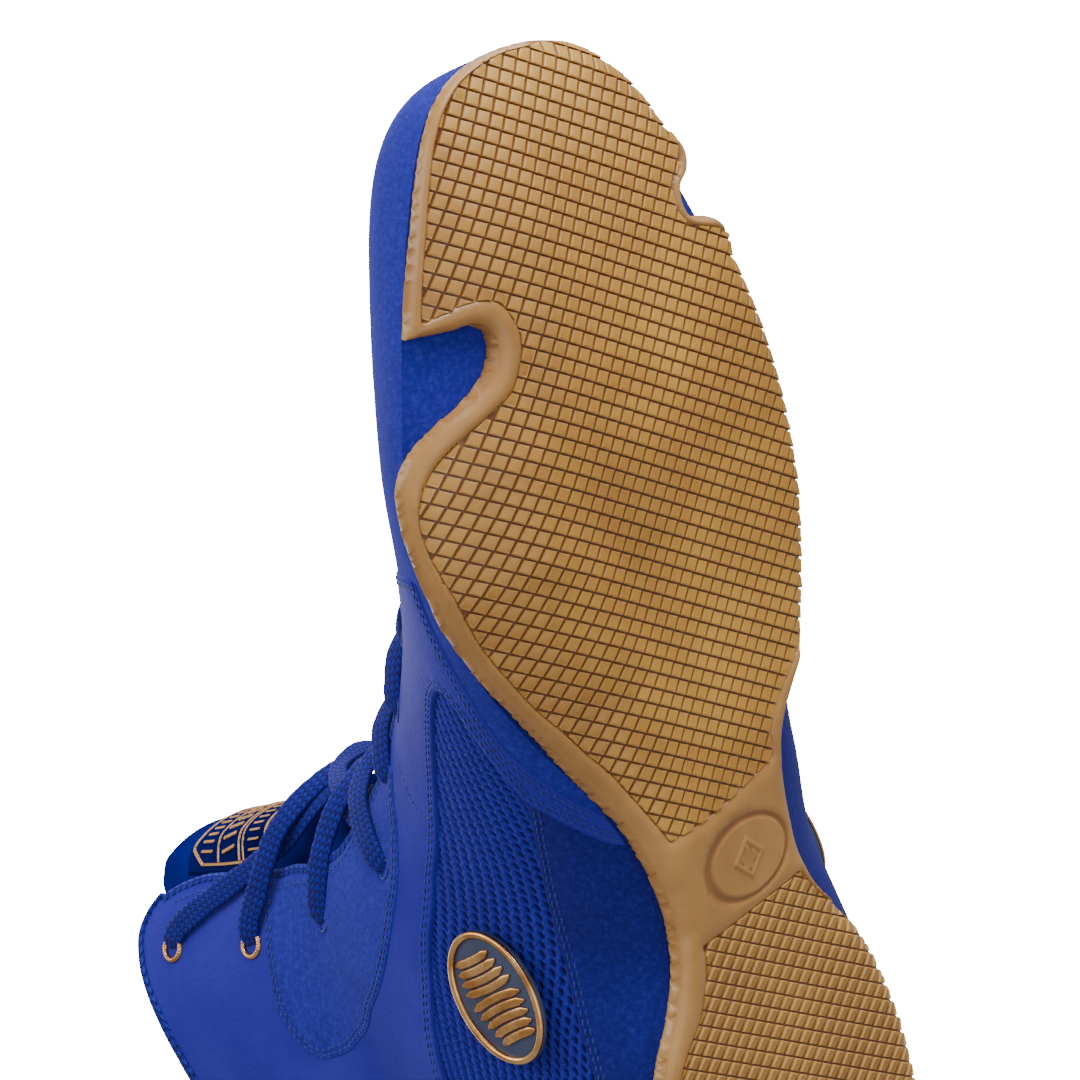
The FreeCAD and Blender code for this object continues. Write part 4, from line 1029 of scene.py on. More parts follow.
cells_q = []
lug_mesh()
bag = Bag()
# per-vertex masks: painted shade down the lug walls and a painted highlight on one side of each lug's edge
hollow_shade, edge_highlight = [], []
a1, a2 = np.array((2.49, 1.56)), np.array((-2.04, 2.19))
inv = np.linalg.inv(np.stack([a1, a2], 1))
rng = np.random.RandomState(4)
rings, owner = [], []
for ti, i, j, q in cells_q:
    c = q.mean(0)
    r = max(np.mean(np.linalg.norm(q - c, axis=1)) * 0.72, 0.3)
    w = rng.uniform(-0.03, 0.03)
    rings.append((q, c, r, w))
flat = np.concatenate([np.concatenate([c + (q - c) * (1 - 0.24 / r), q, c + (q - c) * (1 + 0.10 / r)]) for q, c, r, w in rings])
sd = signed(flat, out_line)
zf = floor_z(flat[:, 0], flat[:, 1]) + wrap_up(flat, sd)
n0 = 0
for (ti, i, j, q0), (q, c, r, w) in zip(cells_q, rings):
    n = len(q)
    P = flat[n0:n0 + 3 * n].reshape(3, n, 2)
    Z = zf[n0:n0 + 3 * n].reshape(3, n)
    ab = P @ inv.T - np.array((i, j))
    t = np.clip(ab.mean(-1), 0, 1)
    if ti == 1:
        t = 1 - t
    up = (RELIEF - 0.42) * (1 - t) + w
    # painted highlight: the edge ring is made pale on one side of each lug
    highlight_side = np.clip((ab[1][:, 0] - 0.55) / 0.3, 0, 1) if ti == 0 else np.clip((0.45 - ab[1][:, 0]) / 0.3, 0, 1)
    edge_highlight += [0.0] * n + (0.55 * highlight_side + 0.10).tolist() + [0.0] * n
    z0 = Z[0] + up[0]
    z1 = Z[1] + up[1] + 0.13
    z2 = Z[2] + RELIEF + 0.30
    v = np.concatenate([np.column_stack([P[0], z0]), np.column_stack([P[1], z1]), np.column_stack([P[2], z2])])
    f = [list(range(n))]
    for k in range(n):
        m = (k + 1) % n
        f.append([k, m, n + m, n + k])
        f.append([n + k, n + m, 2 * n + m, 2 * n + k])
    f.append(list(range(2 * n, 3 * n))[::-1])
    bag.add(v, f)
    # painted shade: the lug walls darken from the face edge (0.12) to the root (0.85)
    hollow_shade += [0.0] * n + [0.12] * n + [0.85] * n
    n0 += 3 * n
lv, lf = bag.out()
lugs = piece("outsole_tread_lugs", lv, lf, GUM, "gum", flex=True, angle=25)
at = lugs.data.attributes.new("hollow_shade", "FLOAT", "POINT")
at.data.foreach_set("value", np.array(hollow_shade, np.float32))
at = lugs.data.attributes.new("edge_highlight", "FLOAT", "POINT")
at.data.foreach_set("value", np.array(edge_highlight, np.float32))

# slab under the lugs with the rim bead, the waist and the side wall
gx, gy = np.meshgrid(np.arange(-54, 39, 1.5), np.arange(-143.2, 146, 1.5))
gp = np.column_stack([gx.ravel(), gy.ravel()])
gp = gp[inside(gp, out_line)]
do = dist(gp, out_line)
dt = np.minimum(dist(gp, TREADS[0]), dist(gp, TREADS[1]))
gp = gp[(do > 0.8) & (dt > 0.7)]
rim_pts = []
for d_in in (0.14, 0.32, 0.55, 0.85, 1.2, 1.65, 2.2, 2.9, 3.7):
    t = np.roll(out_line, -1, 0) - np.roll(out_line, 1, 0)
    t /= np.linalg.norm(t, axis=1, keepdims=True)
    nn = np.stack([-t[:, 1], t[:, 0]], -1)
    if not inside(out_line[40:41] + nn[40] * 0.5, out_line)[0]:
        nn = -nn
    p = out_line + nn * d_in
    p = p[inside(p, out_line) & (dist(p, out_line) > d_in * 0.97)]
    if d_in > 1.3:
        p = p[::2]
    rim_pts.append(p)
for t_ in TREADS:
    tl, _ = resample(t_, 1.1, True)
    tt = np.roll(tl, -1, 0) - np.roll(tl, 1, 0)
    tt /= np.linalg.norm(tt, axis=1, keepdims=True)
    nn = np.stack([-tt[:, 1], tt[:, 0]], -1)
    if inside(tl[30:31] + nn[30] * 0.3, t_)[0]:
        nn = -nn
    for d_in in (0.16, 0.4, 0.8, 1.3, 2.0):
        p = tl + nn * d_in
        p = p[inside(p, out_line) & ~inside(p, t_) & (dist(p, t_) > d_in * 0.9) & (dist(p, out_line) > 0.7)]
        rim_pts.append(p)
gx, gy = np.meshgrid(np.arange(-11.2, 14.2, 0.3), np.arange(14.2, 32.2, 0.3))
fine = np.column_stack([gx.ravel(), gy.ravel()])
fine = fine[(np.hypot((fine[:, 0] - 1.42) / 12.4, (fine[:, 1] - 23.1) / 8.9) < 1) & inside(fine, out_line)]
coarse = np.concatenate([gp] + rim_pts)
coarse = coarse[np.hypot((coarse[:, 0] - 1.42) / 12.4, (coarse[:, 1] - 23.1) / 8.9) >= 1.02]
tl = []
for t_ in TREADS:
    r_, _ = resample(t_, 1.1, True)
    r_ = r_[signed(r_, out_line) > 0.12]
    tl.append(r_)
v2, f2 = fill([out_line], np.concatenate([coarse, fine] + tl), 1e-4)
zb, hb, tin = tread_base(v2)
ztop = ground(v2[:, 0], v2[:, 1]) + sole_thick(v2[:, 0], v2[:, 1])
ztop = ztop + 0.45 * np.clip(1 - dist(v2, out_line) / 0.9, 0, 1) * step(v2[:, 1], -30, -10)
zbot = np.minimum(zb + hb, ztop - 0.35)
sdv = signed(v2, out_line)
bot = np.column_stack([v2, zbot])
top = np.column_stack([v2, ztop])
bd = boundary(f2)
nv = len(v2)
# side wall with a soft bulge
order = {a: b for a, b in bd}
verts = [bot, top]
faces = f2[:, ::-1].tolist() + (f2 + nv).tolist()
mid_idx = {}
extra = []
cen = out_line.mean(0)
for a, b in bd:
    mid_idx[a] = 2 * nv + len(mid_idx)
ids = list(mid_idx)
loop = np.array(ids)
nxt = np.array([order[a] for a in ids])
prev = {b: a for a, b in bd}
prv = np.array([prev[a] for a in ids])
tg = v2[nxt] - v2[prv]
tg /= np.maximum(np.linalg.norm(tg, axis=1, keepdims=True), 1e-9)
ow = np.stack([tg[:, 1], -tg[:, 0]], -1)
if inside(v2[loop[5]][None] + ow[5] * 0.4, out_line)[0]:
    ow = -ow
mids = np.column_stack([v2[loop] + ow * 0.28, 0.5 * (zbot[loop] + ztop[loop])])
verts.append(mids)
for a, b in bd:
    faces.append([b, a, mid_idx[a], mid_idx[b]])
    faces.append([mid_idx[b], mid_idx[a], a + nv, b + nv])
slab = piece("outsole_slab", np.concatenate(verts), faces, GUM_RIM, "gum", nodes=("outsole",), flex=True, angle=78)
# painted shade: the tread floor between the lugs, the oval's groove and the rim where it rounds away are darkened
slab_hollow_shade = np.concatenate([np.where(tin, 0.85, np.maximum(np.clip((hb - 0.8) * 0.4, 0, 0.3), 0.6 * OVAL[-1])), np.zeros(nv), np.zeros(len(mids))])
at = slab.data.attributes.new("hollow_shade", "FLOAT", "POINT")
at.data.foreach_set("value", slab_hollow_shade.astype(np.float32))

# ------------------------------------------------------------------ upper
NAMES = {-1: "medial", 1: "lateral"}
KU, KS = 6.5, 95.0                        # rough millimetres per unit of u and s


def shift(us, side, d, closed=False):
    """Move a path on the surface sideways by d millimetres."""
    us = np.asarray(us, float)
    p, n = surf(us[:, 0], us[:, 1], side), normal(us[:, 0], us[:, 1], side)
    t = (np.roll(p, -1, 0) - np.roll(p, 1, 0)) if closed else np.gradient(p, axis=0)
    b = np.cross(n, t)
    b /= np.maximum(np.linalg.norm(b, axis=1, keepdims=True), 1e-9)
    e = 0.03
    pu = (surf(us[:, 0] + e, us[:, 1], side) - surf(us[:, 0] - e, us[:, 1], side)) / (2 * e)
    e = 0.004
    ps = (surf(us[:, 0], us[:, 1] + e, side) - surf(us[:, 0], us[:, 1] - e, side)) / (2 * e)
    q = b * d
    a11, a12, a22 = (pu * pu).sum(1), (pu * ps).sum(1), (ps * ps).sum(1)
    b1, b2 = (pu * q).sum(1), (ps * q).sum(1)
    det = np.maximum(a11 * a22 - a12 ** 2, 1e-6)
    return us + np.stack([(b1 * a22 - b2 * a12) / det, (a11 * b2 - a12 * b1) / det], -1)


def inward(loop, side, d):
    """The closed loop moved inwards, without the points that fold over."""
    a, b = shift(loop, side, d, True), shift(loop, side, -d, True)
    k = np.array([KU, KS])
    n = a if inside(a * k, loop * k).sum() > inside(b * k, loop * k).sum() else b
    p3, l3 = surf(n[:, 0], n[:, 1], side), surf(loop[:, 0], loop[:, 1], side)
    ok = inside(n * k, loop * k) & (dist(p3, l3) > d * 0.9)
    return n, ok


def even(us, side, gap, closed=False):
    """Even 3-D spacing along a path given in (u, s)."""
    us = np.asarray(us, float)
    q = np.concatenate([us, us[:1]]) if closed else us
    p = surf(q[:, 0], q[:, 1], side)
    l = np.concatenate([[0], np.cumsum(np.linalg.norm(np.diff(p, axis=0), axis=1))])
    keep = np.concatenate([[True], np.diff(l) > 1e-9])
    l, q = l[keep], q[keep]
    n = max(int(round(l[-1] / gap)), 3)
    t = np.linspace(0, l[-1], n + 1)
    if closed:
        t = t[:-1]
    return np.stack([np.interp(t, l, q[:, 0]), np.interp(t, l, q[:, 1])], -1)


def curve_us(pts, per=6):
    """Smooth (u, s) curve, splined in scaled space."""
    k = np.array([KU, KS])
    return spline(np.array(pts, float) * k, per) / k


def sheet_on(loop, side, top, bot, gap=1.0, step_mm=1.4, rings=(0.18, 0.45, 0.85, 1.4)):
    """Closed thin solid over the loop; top and bot give offsets (u, s, d)."""
    loop = even(loop, side, gap, True)
    k = np.array([KU, KS])
    lo, hi = loop.min(0), loop.max(0)
    gu, gs = np.meshgrid(np.arange(lo[0], hi[0], step_mm / KU), np.arange(lo[1], hi[1], step_mm / KS), indexing="ij")
    g = np.column_stack([gu.ravel(), gs.ravel()])
    g = g[inside(g * k, loop * k)]
    l3 = surf(loop[:, 0], loop[:, 1], side)
    if len(g):
        g = g[dist(surf(g[:, 0], g[:, 1], side), l3) > (max(rings) + 0.5 if rings else 0.5)]
    ex = [g]
    for d in rings:
        n, ok = inward(loop, side, d)
        ex.append(n[ok])
    v, f = fill([loop * k], np.concatenate(ex) * k, 1e-5)
    v = v / k
    p = surf(v[:, 0], v[:, 1], side)
    n = normal(v[:, 0], v[:, 1], side)
    d = dist(p, l3)
    t = top(v[:, 0], v[:, 1], d)
    b = bot(v[:, 0], v[:, 1], d)
    return slab_mesh(p + n * t[:, None], p + n * b[:, None], f), loop


def rolled(base, h, r=0.9):
    """Edge that rolls down to the layer under it."""
    def fn(u, s, d):
        k = np.clip(d / r, 0, 1)
        return base + h * np.sqrt(np.maximum(1 - (1 - k) ** 2.2, 0))
    return fn


STITCH_F = []
for _i in range(4):
    for _j in range(6):
        STITCH_F.append([_i * 6 + _j, _i * 6 + (_j + 1) % 6, (_i + 1) * 6 + (_j + 1) % 6, (_i + 1) * 6 + _j])
STITCH_F += [[5, 4, 3, 2, 1, 0], [24, 25, 26, 27, 28, 29]]


def stitches(bag, side, us, o, pitch=1.9, length=1.45, r=0.2, slant=0.0):
    """A row of thread stitches along a path on the surface."""
    q = even(us, side, 0.3)
    u, s = q[:, 0], q[:, 1]
    oo = o(u, s) if callable(o) else np.full(len(u), float(o))
    p, n = surf(u, s, side), normal(u, s, side)
    p = p + n * oo[:, None]
    l = np.concatenate([[0], np.cumsum(np.linalg.norm(np.diff(p, axis=0), axis=1))])
    count = int(l[-1] / pitch)
    if count < 1:
        return
    a = np.arange(count) * pitch + 0.4
    t = a[:, None] + np.linspace(0, length, 5)[None]
    P = np.stack([np.interp(t, l, p[:, i]) for i in range(3)], -1)
    N = np.stack([np.interp(t, l, n[:, i]) for i in range(3)], -1)
    N /= np.linalg.norm(N, axis=-1, keepdims=True)
    T = np.gradient(P, axis=1)
    T /= np.maximum(np.linalg.norm(T, axis=-1, keepdims=True), 1e-9)
    B = np.cross(T, N)
    hgt = np.array([-0.10, 0.05, 0.09, 0.05, -0.10])
    rad = np.array([0.55, 0.92, 1.0, 0.92, 0.55]) * r
    side_off = np.linspace(-slant, slant, 5)
    C = P + N * hgt[None, :, None] + B * side_off[None, :, None]
    ang = np.linspace(0, 2 * math.pi, 6, endpoint=False)
    V = C[:, :, None] + rad[None, :, None, None] * (np.cos(ang)[None, None, :, None] * B[:, :, None] + 0.8 * np.sin(ang)[None, None, :, None] * N[:, :, None])
    for v in V:
        bag.add(v.reshape(-1, 3), STITCH_F)


# --- panel outlines on each side, as (u, s)
LOW_EDGE = [(7.85, .094), (8.4, .094), (8.75, .089), (9.1, .088), (9.5, .088), (9.95, .086), (10.25, .070), (10.5, .055), (10.8, .036), (11.05, .010)]
FRONT = [(7.85, .094), (7.86, .18), (7.98, .32), (8.2, .50), (8.45, .66), (8.62, .76), (8.72, .805)]
WIN_LOW = [(9.30, .212), (9.45, .192), (9.7, .176), (10.05, .163), (10.35, .152), (10.65, .144), (10.9, .113), (11.2, .072), (11.5, .030), (11.6, .004)]
WIN_TOP = [(9.30, .212), (9.27, .245), (9.38, .295), (9.55, .336), (9.8, .372), (10.1, .404), (10.5, .436), (11.0, .459), (11.7, .472),
           (12.55, .475), (13.4, .462), (14.3, .446), (15.05, .445), (15.65, .436), (16.4, .395), (17.2, .325), (18.0, .22), (18.7, .11), (19.15, .03), (19.3, .003)]
HEEL_EDGE = [(10.55, .158), (10.75, .150), (11.3, .182), (12.0, .206), (12.6, .205), (13.0, .194), (13.4, .172), (13.7, .150), (14.2, .113),
             (14.9, .088), (15.6, .090), (16.3, .125), (16.9, .185), (17.5, .255)]
PATCH = [(11.45, .690), (11.8, .656), (12.25, .610), (12.75, .578), (13.2, .558), (13.9, .542), (14.75, .548), (15.5, .568), (16.3, .592), (17.4, .608),
         (18.65, .614), (19.45, .600), (19.85, .592), (20.12, .604), (20.25, .640), (20.1, .688), (19.82, .748), (19.45, .824)]

zero_line = lambda a, b, n: np.column_stack([np.linspace(a, b, n), np.full(n, 0.001)])

grom_us = HOLES = [(22.5, 0.713), (20.3, 0.731), (16.9, 0.727), (13.3, 0.600), (11.7, 0.70), (10.5, 0.71), (9.4, 0.70)]

thread_bag = {-1: Bag(), 1: Bag()}
front_bag = {-1: Bag(), 1: Bag()}

# vamp: toe cap and sides in one suede piece, wrapped under the last, with a
# tail along the sole on each side
vb = Bag()
MARGIN = {}
NU, NK = 104, 150
uu = np.concatenate([np.linspace(0, 1.2, 18)[:-1], np.linspace(1.2, 8.95, NU - 17)])
kk = np.linspace(-1, 1, NK)
rows_t, rows_b = [], []
for u in uu:
    t_, b_ = [], []
    for side in (-1, 1):
        k = kk[kk < 0] if side < 0 else kk[kk >= 0]
        s = 1 - np.abs(k)
        wr = 0.10 * np.sin(s * 31 + u * 1.7) * np.exp(-((u - 7.9) / 1.1) ** 2) * step(s, 0.3, 0.7)
        t_.append(off(np.full(len(s), u), s, side, wr))
        b_.append(off(np.full(len(s), u), s, side, np.full(len(s), -1.2)))
    rows_t.append(np.concatenate(t_))
    rows_b.append(np.concatenate(b_))
v, f = shell(np.array(rows_t), np.array(rows_b))
vb.add(v, f)
for side in (-1, 1):
    # lasting margin, just over the outsole
    us_ = np.linspace(0.3, 18.6, 150)
    foot = surf(us_, np.zeros(150), side)
    sid = surf(us_, np.full(150, 0.028), side)
    tg = np.gradient(foot[:, :2], axis=0)
    tg /= np.maximum(np.linalg.norm(tg, axis=1, keepdims=True), 1e-9)
    ins_ = np.stack([tg[:, 1], -tg[:, 0]], -1) * (-side)
    mid = np.column_stack([np.interp(foot[:, 1], [-143, 145], [-6, 1]), foot[:, 1]])
    flip_ = ((mid - foot[:, :2]) * ins_).sum(1) < 0
    ins_[flip_] *= -1
    tt = np.concatenate([[0, 0.4, 0.9, 1.6, 2.6, 4.0], np.linspace(5.5, 17, 8)])
    rows_t, rows_b = [], []
    fw = np.exp(-((foot[:, 1] + 89.5) / 8.5) ** 4) if side < 0 else np.exp(-((foot[:, 1] + 104.5) / 6.5) ** 4)
    for t in tt:
        lim = np.minimum(t, 0.42 * np.abs(foot[:, 0] - mid[:, 0]) + 1.0)
        xy = foot[:, :2] + ins_ * lim[:, None]
        z = ground(xy[:, 0], xy[:, 1]) + sole_thick(xy[:, 0], xy[:, 1]) + 0.04
        z = z + (foot[:, 2] - z) * (1 - step(t, 0.0, 2.5)) * 0.9
        rows_t.append(np.column_stack([xy, z + 0.18]))
        rows_b.append(np.column_stack([xy, z]))
    rows_t, rows_b = np.array(rows_t), np.array(rows_b)
    rows_b[0] = rows_b[0] * (1 - 0.3) + sid * 0.3
    v, f = shell(rows_t[:, us_ < 8.9], rows_b[:, us_ < 8.9])
    vb.add(v, f)
    MARGIN[side] = shell(rows_t[:, us_ > 8.75], rows_b[:, us_ > 8.75])
    # tail under the leather band
    loop = np.concatenate([zero_line(8.9, 11.25, 14), curve_us(LOW_EDGE)[::-1] + np.array((0.12, 0.02)), [(8.9, .12)]])
    loop = loop[loop[:, 0] >= 8.88]
    (v, f), _ = sheet_on(loop, side, lambda u, s, d: 0 * u + 0.0, lambda u, s, d: 0 * u - 1.2)
    vb.add(v, f)
v, f = vb.out()
for side in (-1, 1):
    piece(NAMES[side] + "_lasting_margin", *MARGIN[side], SUEDE_D, "suede", angle=60)
vamp = piece("vamp_suede", v, f, SUEDE, "suede", nodes=("vamp",), flex=True, angle=55)

for side in (-1, 1):
    nm = NAMES[side]
    # ---- leather quarter with the band that wraps round the knit window
    tops = np.linspace(0.0, 0.796, 70)
    top_line = np.column_stack([top_u(tops) + 0.13 - corner(tops), tops])
    e_u = np.linspace(22.80, 8.85, 90)
    lace_edge = np.column_stack([e_u, edge_s(e_u)])
    loop = np.concatenate([curve_us(LOW_EDGE), zero_line(11.15, 11.55, 4), curve_us(WIN_LOW)[::-1], curve_us(WIN_TOP)[1:],
                           zero_line(19.5, float(top_u(0.0)) + 0.08, 24), top_line, lace_edge, curve_us(FRONT)[::-1][1:-1]])
    LOOP_Q = loop
    win = np.concatenate([curve_us(WIN_LOW)[::-1], curve_us(WIN_TOP)[1:]])
    st1 = shift(win, side, 1.3)
    k2 = np.array([KU, KS])
    if inside(st1 * k2, loop * k2).mean() < 0.5:
        sgn = -1
    else:
        sgn = 1
    rows = [shift(win, side, sgn * d) for d in (1.25, 2.35)]
    low = curve_us(LOW_EDGE)
    sg2 = 1 if inside(shift(low, side, 1.2) * k2, loop * k2).mean() > 0.5 else -1
    rows_low = [shift(low, side, sg2 * d) for d in (1.1, 2.1)]
    frn = curve_us(FRONT)
    sg3 = 1 if inside(shift(frn, side, 1.2) * k2, loop * k2).mean() > 0.5 else -1
    rows_fr = [shift(frn, side, sg3 * d) for d in (1.1, 2.1)]
    seam = curve_us([(11.2, .66), (11.42, .60), (11.6, .545), (11.62, .50), (11.5, .468)])
    all_rows = [even(r_, side, 0.6) for r_ in rows + rows_low + rows_fr + [seam]]
    row3 = [surf(r_[:, 0], r_[:, 1], side) for r_ in all_rows]
    hole3 = [surf(np.array([a]), np.array([b]), side)[0] for a, b in grom_us]

    def q_top(u, s, d, side=side, row3=row3, hole3=hole3):
        p = surf(u, s, side)
        base = 0.62 * step(18.2 - u, 0, 1) * step(0.62 - s, 0.0, 0.12)
        base = 0.45 + 0 * u
        k = np.clip(d / 0.9, 0, 1)
        o = base * np.sqrt(np.maximum(1 - (1 - k) ** 2.2, 0)) + 0.02
        for r_ in row3[:-1]:
            dd = dist(p, r_, False)
            o = o - 0.15 * np.exp(-(dd / 0.42) ** 2)
        o = o - 0.22 * np.exp(-(dist(p, row3[-1], False) / 0.35) ** 2)
        # soft creases at the ankle and a little padding at the collar
        o = o + 0.5 * np.exp(-((u - 21.6) / 1.0) ** 2) * step(0.64 - s, 0, 0.12)
        o = o - 0.16 * np.exp(-((s - 0.52 - 0.02 * (u - 17)) / 0.018) ** 2) * step(u, 15.5, 17) * step(21 - u, 0, 2)
        for c in hole3[:2]:
            dd = np.linalg.norm(p - c, axis=1)
            o = o - 0.5 * np.exp(-(dd / 3.4) ** 2)
        return o

    (v, f), _ = sheet_on(loop, side, q_top, lambda u, s, d: 0 * u - 1.25, 0.9, 1.25)
    piece(nm + "_quarter_leather", v, f, LEATHER, "leather", nodes=(nm + "_quarter", nm + "_band"), flex=True, angle=50)
    tb, fb_ = thread_bag[side], front_bag[side]
    for r_ in rows:
        q = even(r_, side, 0.5)
        q = q[inside(q * k2, loop * k2)]
        stitches(tb, side, q, 0.42, slant=0.06)
    for r_ in rows_low + rows_fr:
        q = even(r_, side, 0.5)
        q = q[inside(q * k2, loop * k2)]
        stitches(fb_, side, q, 0.40, slant=0.06)
    stitches(tb, side, shift(seam, side, 0.9), 0.44, r=0.15)

    # ---- suede heel panel under the band
    loop = np.concatenate([curve_us(HEEL_EDGE), curve_us([(17.5, .255), (18.15, .235), (19.0, .130), (19.5, .035), (19.7, .002)])[1:],
                           np.column_stack([np.linspace(19.5, 11.3, 64), np.full(64, 0.001)]), [(11.0, .07), (10.75, .118)]])
    he = curve_us(HEEL_EDGE)[6:]
    sg = 1 if inside(shift(he, side, 1.2) * k2, loop * k2).mean() > 0.5 else -1
    hrows = [shift(he, side, sg * d) for d in (1.15, 2.25)]
    h3 = [surf(r_[:, 0], r_[:, 1], side) for r_ in hrows]

    def h_top(u, s, d, side=side, h3=h3):
        p = surf(u, s, side)
        k = np.clip(d / 0.9, 0, 1)
        o = -0.30 + 0.42 * np.sqrt(np.maximum(1 - (1 - k) ** 2.2, 0))
        for r_ in h3:
            o = o - 0.12 * np.exp(-(dist(p, r_, False) / 0.42) ** 2)
        return o
    (v, f), _ = sheet_on(loop, side, h_top, lambda u, s, d: 0 * u - 1.3, 0.9, 1.5)
    piece(nm + "_heel_suede", v, f, SUEDE_D, "suede", nodes=(nm + "_heel_panel",), angle=50)
    for r_ in hrows:
        stitches(tb, side, r_[1:-1], 0.08, slant=0.06)

    # ---- knit window with every loop of the knit
    loop = np.concatenate([curve_us([(9.15, .225), (9.5, .165), (10.2, .14), (10.6, .13), (11.4, .165), (12.4, .185), (13.2, .165), (13.9, .11),
                                     (14.8, .070), (15.7, .075), (16.6, .14), (17.6, .24)]),
                           curve_us([(17.6, .285), (16.6, .39), (15.8, .445), (14.4, .46), (12.5, .495), (10.9, .475), (9.9, .41), (9.2, .29)])])
    loop = even(loop, side, 1.2, True)
    lu = np.linspace(9, 18, 200)
    arc = np.concatenate([[0], np.cumsum(np.linalg.norm(np.diff(surf(lu, np.full(200, .3), side), axis=0), axis=1))])
    ss = np.linspace(0.0, 0.6, 60)
    ribl = []
    for u in lu:
        q = surf(np.full(60, u), ss, side)
        ribl.append(np.concatenate([[0], np.cumsum(np.linalg.norm(np.diff(q, axis=0), axis=1))]))
    ribl = np.array(ribl)
    # the knit opens a little where it is stretched towards the lace edge
    wgt = 1 / (1 + 0.75 * np.clip((ss - 0.12) / 0.34, 0, 1))
    warp = np.concatenate([np.zeros((200, 1)), np.cumsum(np.diff(ribl, axis=1) * (wgt[1:] + wgt[:-1]) / 2, axis=1)], axis=1)
    topw = np.array([np.interp(0.46, ss, w_) for w_ in warp])
    PX, PY = 2.0, 1.88                     # columns across, rows along
    HX = np.arange(0, 62, 0.21)
    HY = np.arange(0, arc[-1], 0.21)
    gy, gx = np.meshgrid(HY, HX, indexing="ij")
    gu = np.interp(gy.ravel(), arc, lu)
    iu = np.clip(((gu - 9) / 9 * 199).astype(int), 0, 199)
    gs, gw = np.empty_like(gu), np.empty_like(gu)
    gxr = gx.ravel()
    for i in range(200):
        m = iu == i
        if m.any():
            gs[m] = np.interp(gxr[m], ribl[i], ss, right=9)
            gw[m] = np.interp(gxr[m], ribl[i], warp[i])
    ok = inside(np.column_stack([gu, gs]) * k2, loop * k2) & (gs < 0.6)
    nx_, ny_ = len(HX), len(HY)
    okg = ok.reshape(ny_, nx_)
    # columns follow the front border of the window
    gxr2 = (gw - np.interp(gu, lu, topw)).reshape(gx.shape) + 0.16 * gy
    col = np.floor(gxr2 / PX)
    fx = (gxr2 / PX - col - 0.5) * PX
    ph = gy / PY + 0.5 * (col % 2)
    fy = (ph - np.floor(ph) - 0.5) * PY
    fx = fx + 0.34 * fy
    hole = np.exp(-((fx / 0.44) ** 2 + (fy / 0.74) ** 2) ** 1.5)
    rib_ = -0.10 * np.cos(2 * math.pi * (gxr2 / PX - 0.5)) - 0.06 * np.cos(2 * math.pi * (ph - 0.5))
    hgt = -0.52 - 0.80 * hole + rib_
    idx = -np.ones(okg.shape, int)
    idx[okg] = np.arange(okg.sum())
    sel = okg.ravel()
    U, S_, H = gu[sel], gs[sel], hgt.ravel()[sel]
    p, n = surf(U, S_, side), normal(U, S_, side)
    top_ = p + n * H[:, None]
    q4 = np.stack([idx[:-1, :-1], idx[:-1, 1:], idx[1:, 1:], idx[1:, :-1]], -1).reshape(-1, 4)
    q4 = q4[(q4 >= 0).all(1)]
    e = np.concatenate([q4[:, [0, 1]], q4[:, [1, 2]], q4[:, [2, 3]], q4[:, [3, 0]]])
    keys = set(map(tuple, e.tolist()))
    bdk = [(a, b) for a, b in keys if (b, a) not in keys]
    # closed at the back by a coarse ring only: a thin hem round the knit
    hem = {a: i for i, a in enumerate(sorted({a for k_ in bdk for a in k_}))}
    hv = np.array([top_[a] - n[a] * 0.35 for a in sorted(hem)])
    nvt = len(top_)
    faces = q4.tolist() + [[b, a, nvt + hem[a], nvt + hem[b]] for a, b in bdk]
    kn = piece(nm + "_knit_window", np.concatenate([top_, hv]), faces, KNIT, "mesh", nodes=(nm + "_mesh_panel",), angle=None)
    # the hole mask paints the holes dark: painted shade over the backing's colour
    at = kn.data.attributes.new("hollow_shade", "FLOAT", "POINT")
    at.data.foreach_set("value", np.concatenate([hole.ravel()[sel], np.zeros(len(hv))]).astype(np.float32))
    (v, f), _ = sheet_on(loop, side, lambda u, s, d: 0 * u - 1.35, lambda u, s, d: 0 * u - 1.65, 1.6, 2.4, ())
    piece(nm + "_knit_backing", v, f, MESH_BACK, "mesh", angle=50)

    # ---- suede patch round the middle eyelets
    eu = np.linspace(19.2, 11.45, 40)
    loop = np.concatenate([curve_us(PATCH), np.column_stack([eu, edge_s(eu) - 0.012])])
    pl_ = curve_us(PATCH)
    sg = 1 if inside(shift(pl_, side, 1.2) * k2, loop * k2).mean() > 0.5 else -1
    prow = [shift(pl_, side, sg * d) for d in (1.1, 2.2)]
    p3 = [surf(r_[:, 0], r_[:, 1], side) for r_ in prow]

    def p_top(u, s, d, side=side, p3=p3, hole3=hole3):
        p = surf(u, s, side)
        k = np.clip(d / 0.8, 0, 1)
        o = 0.40 + 0.42 * np.sqrt(np.maximum(1 - (1 - k) ** 2.2, 0))
        for r_ in p3:
            o = o - 0.14 * np.exp(-(dist(p, r_, False) / 0.42) ** 2)
        for c in hole3[2:4]:
            dd = np.linalg.norm(p - c, axis=1)
            o = o - 1.5 * np.exp(-(dd / 1.7) ** 4)
        return o
    (v, f), _ = sheet_on(loop, side, p_top, lambda u, s, d: 0 * u + 0.15, 0.8, 1.0)
    piece(nm + "_eyelet_suede", v, f, SUEDE, "suede", nodes=(nm + "_eyelet_patch",), angle=50)
    for r_ in prow:
        q = even(r_, side, 0.5)
        q = q[inside(q * k2, loop * k2)]
        stitches(tb, side, q, 0.80, slant=0.06)

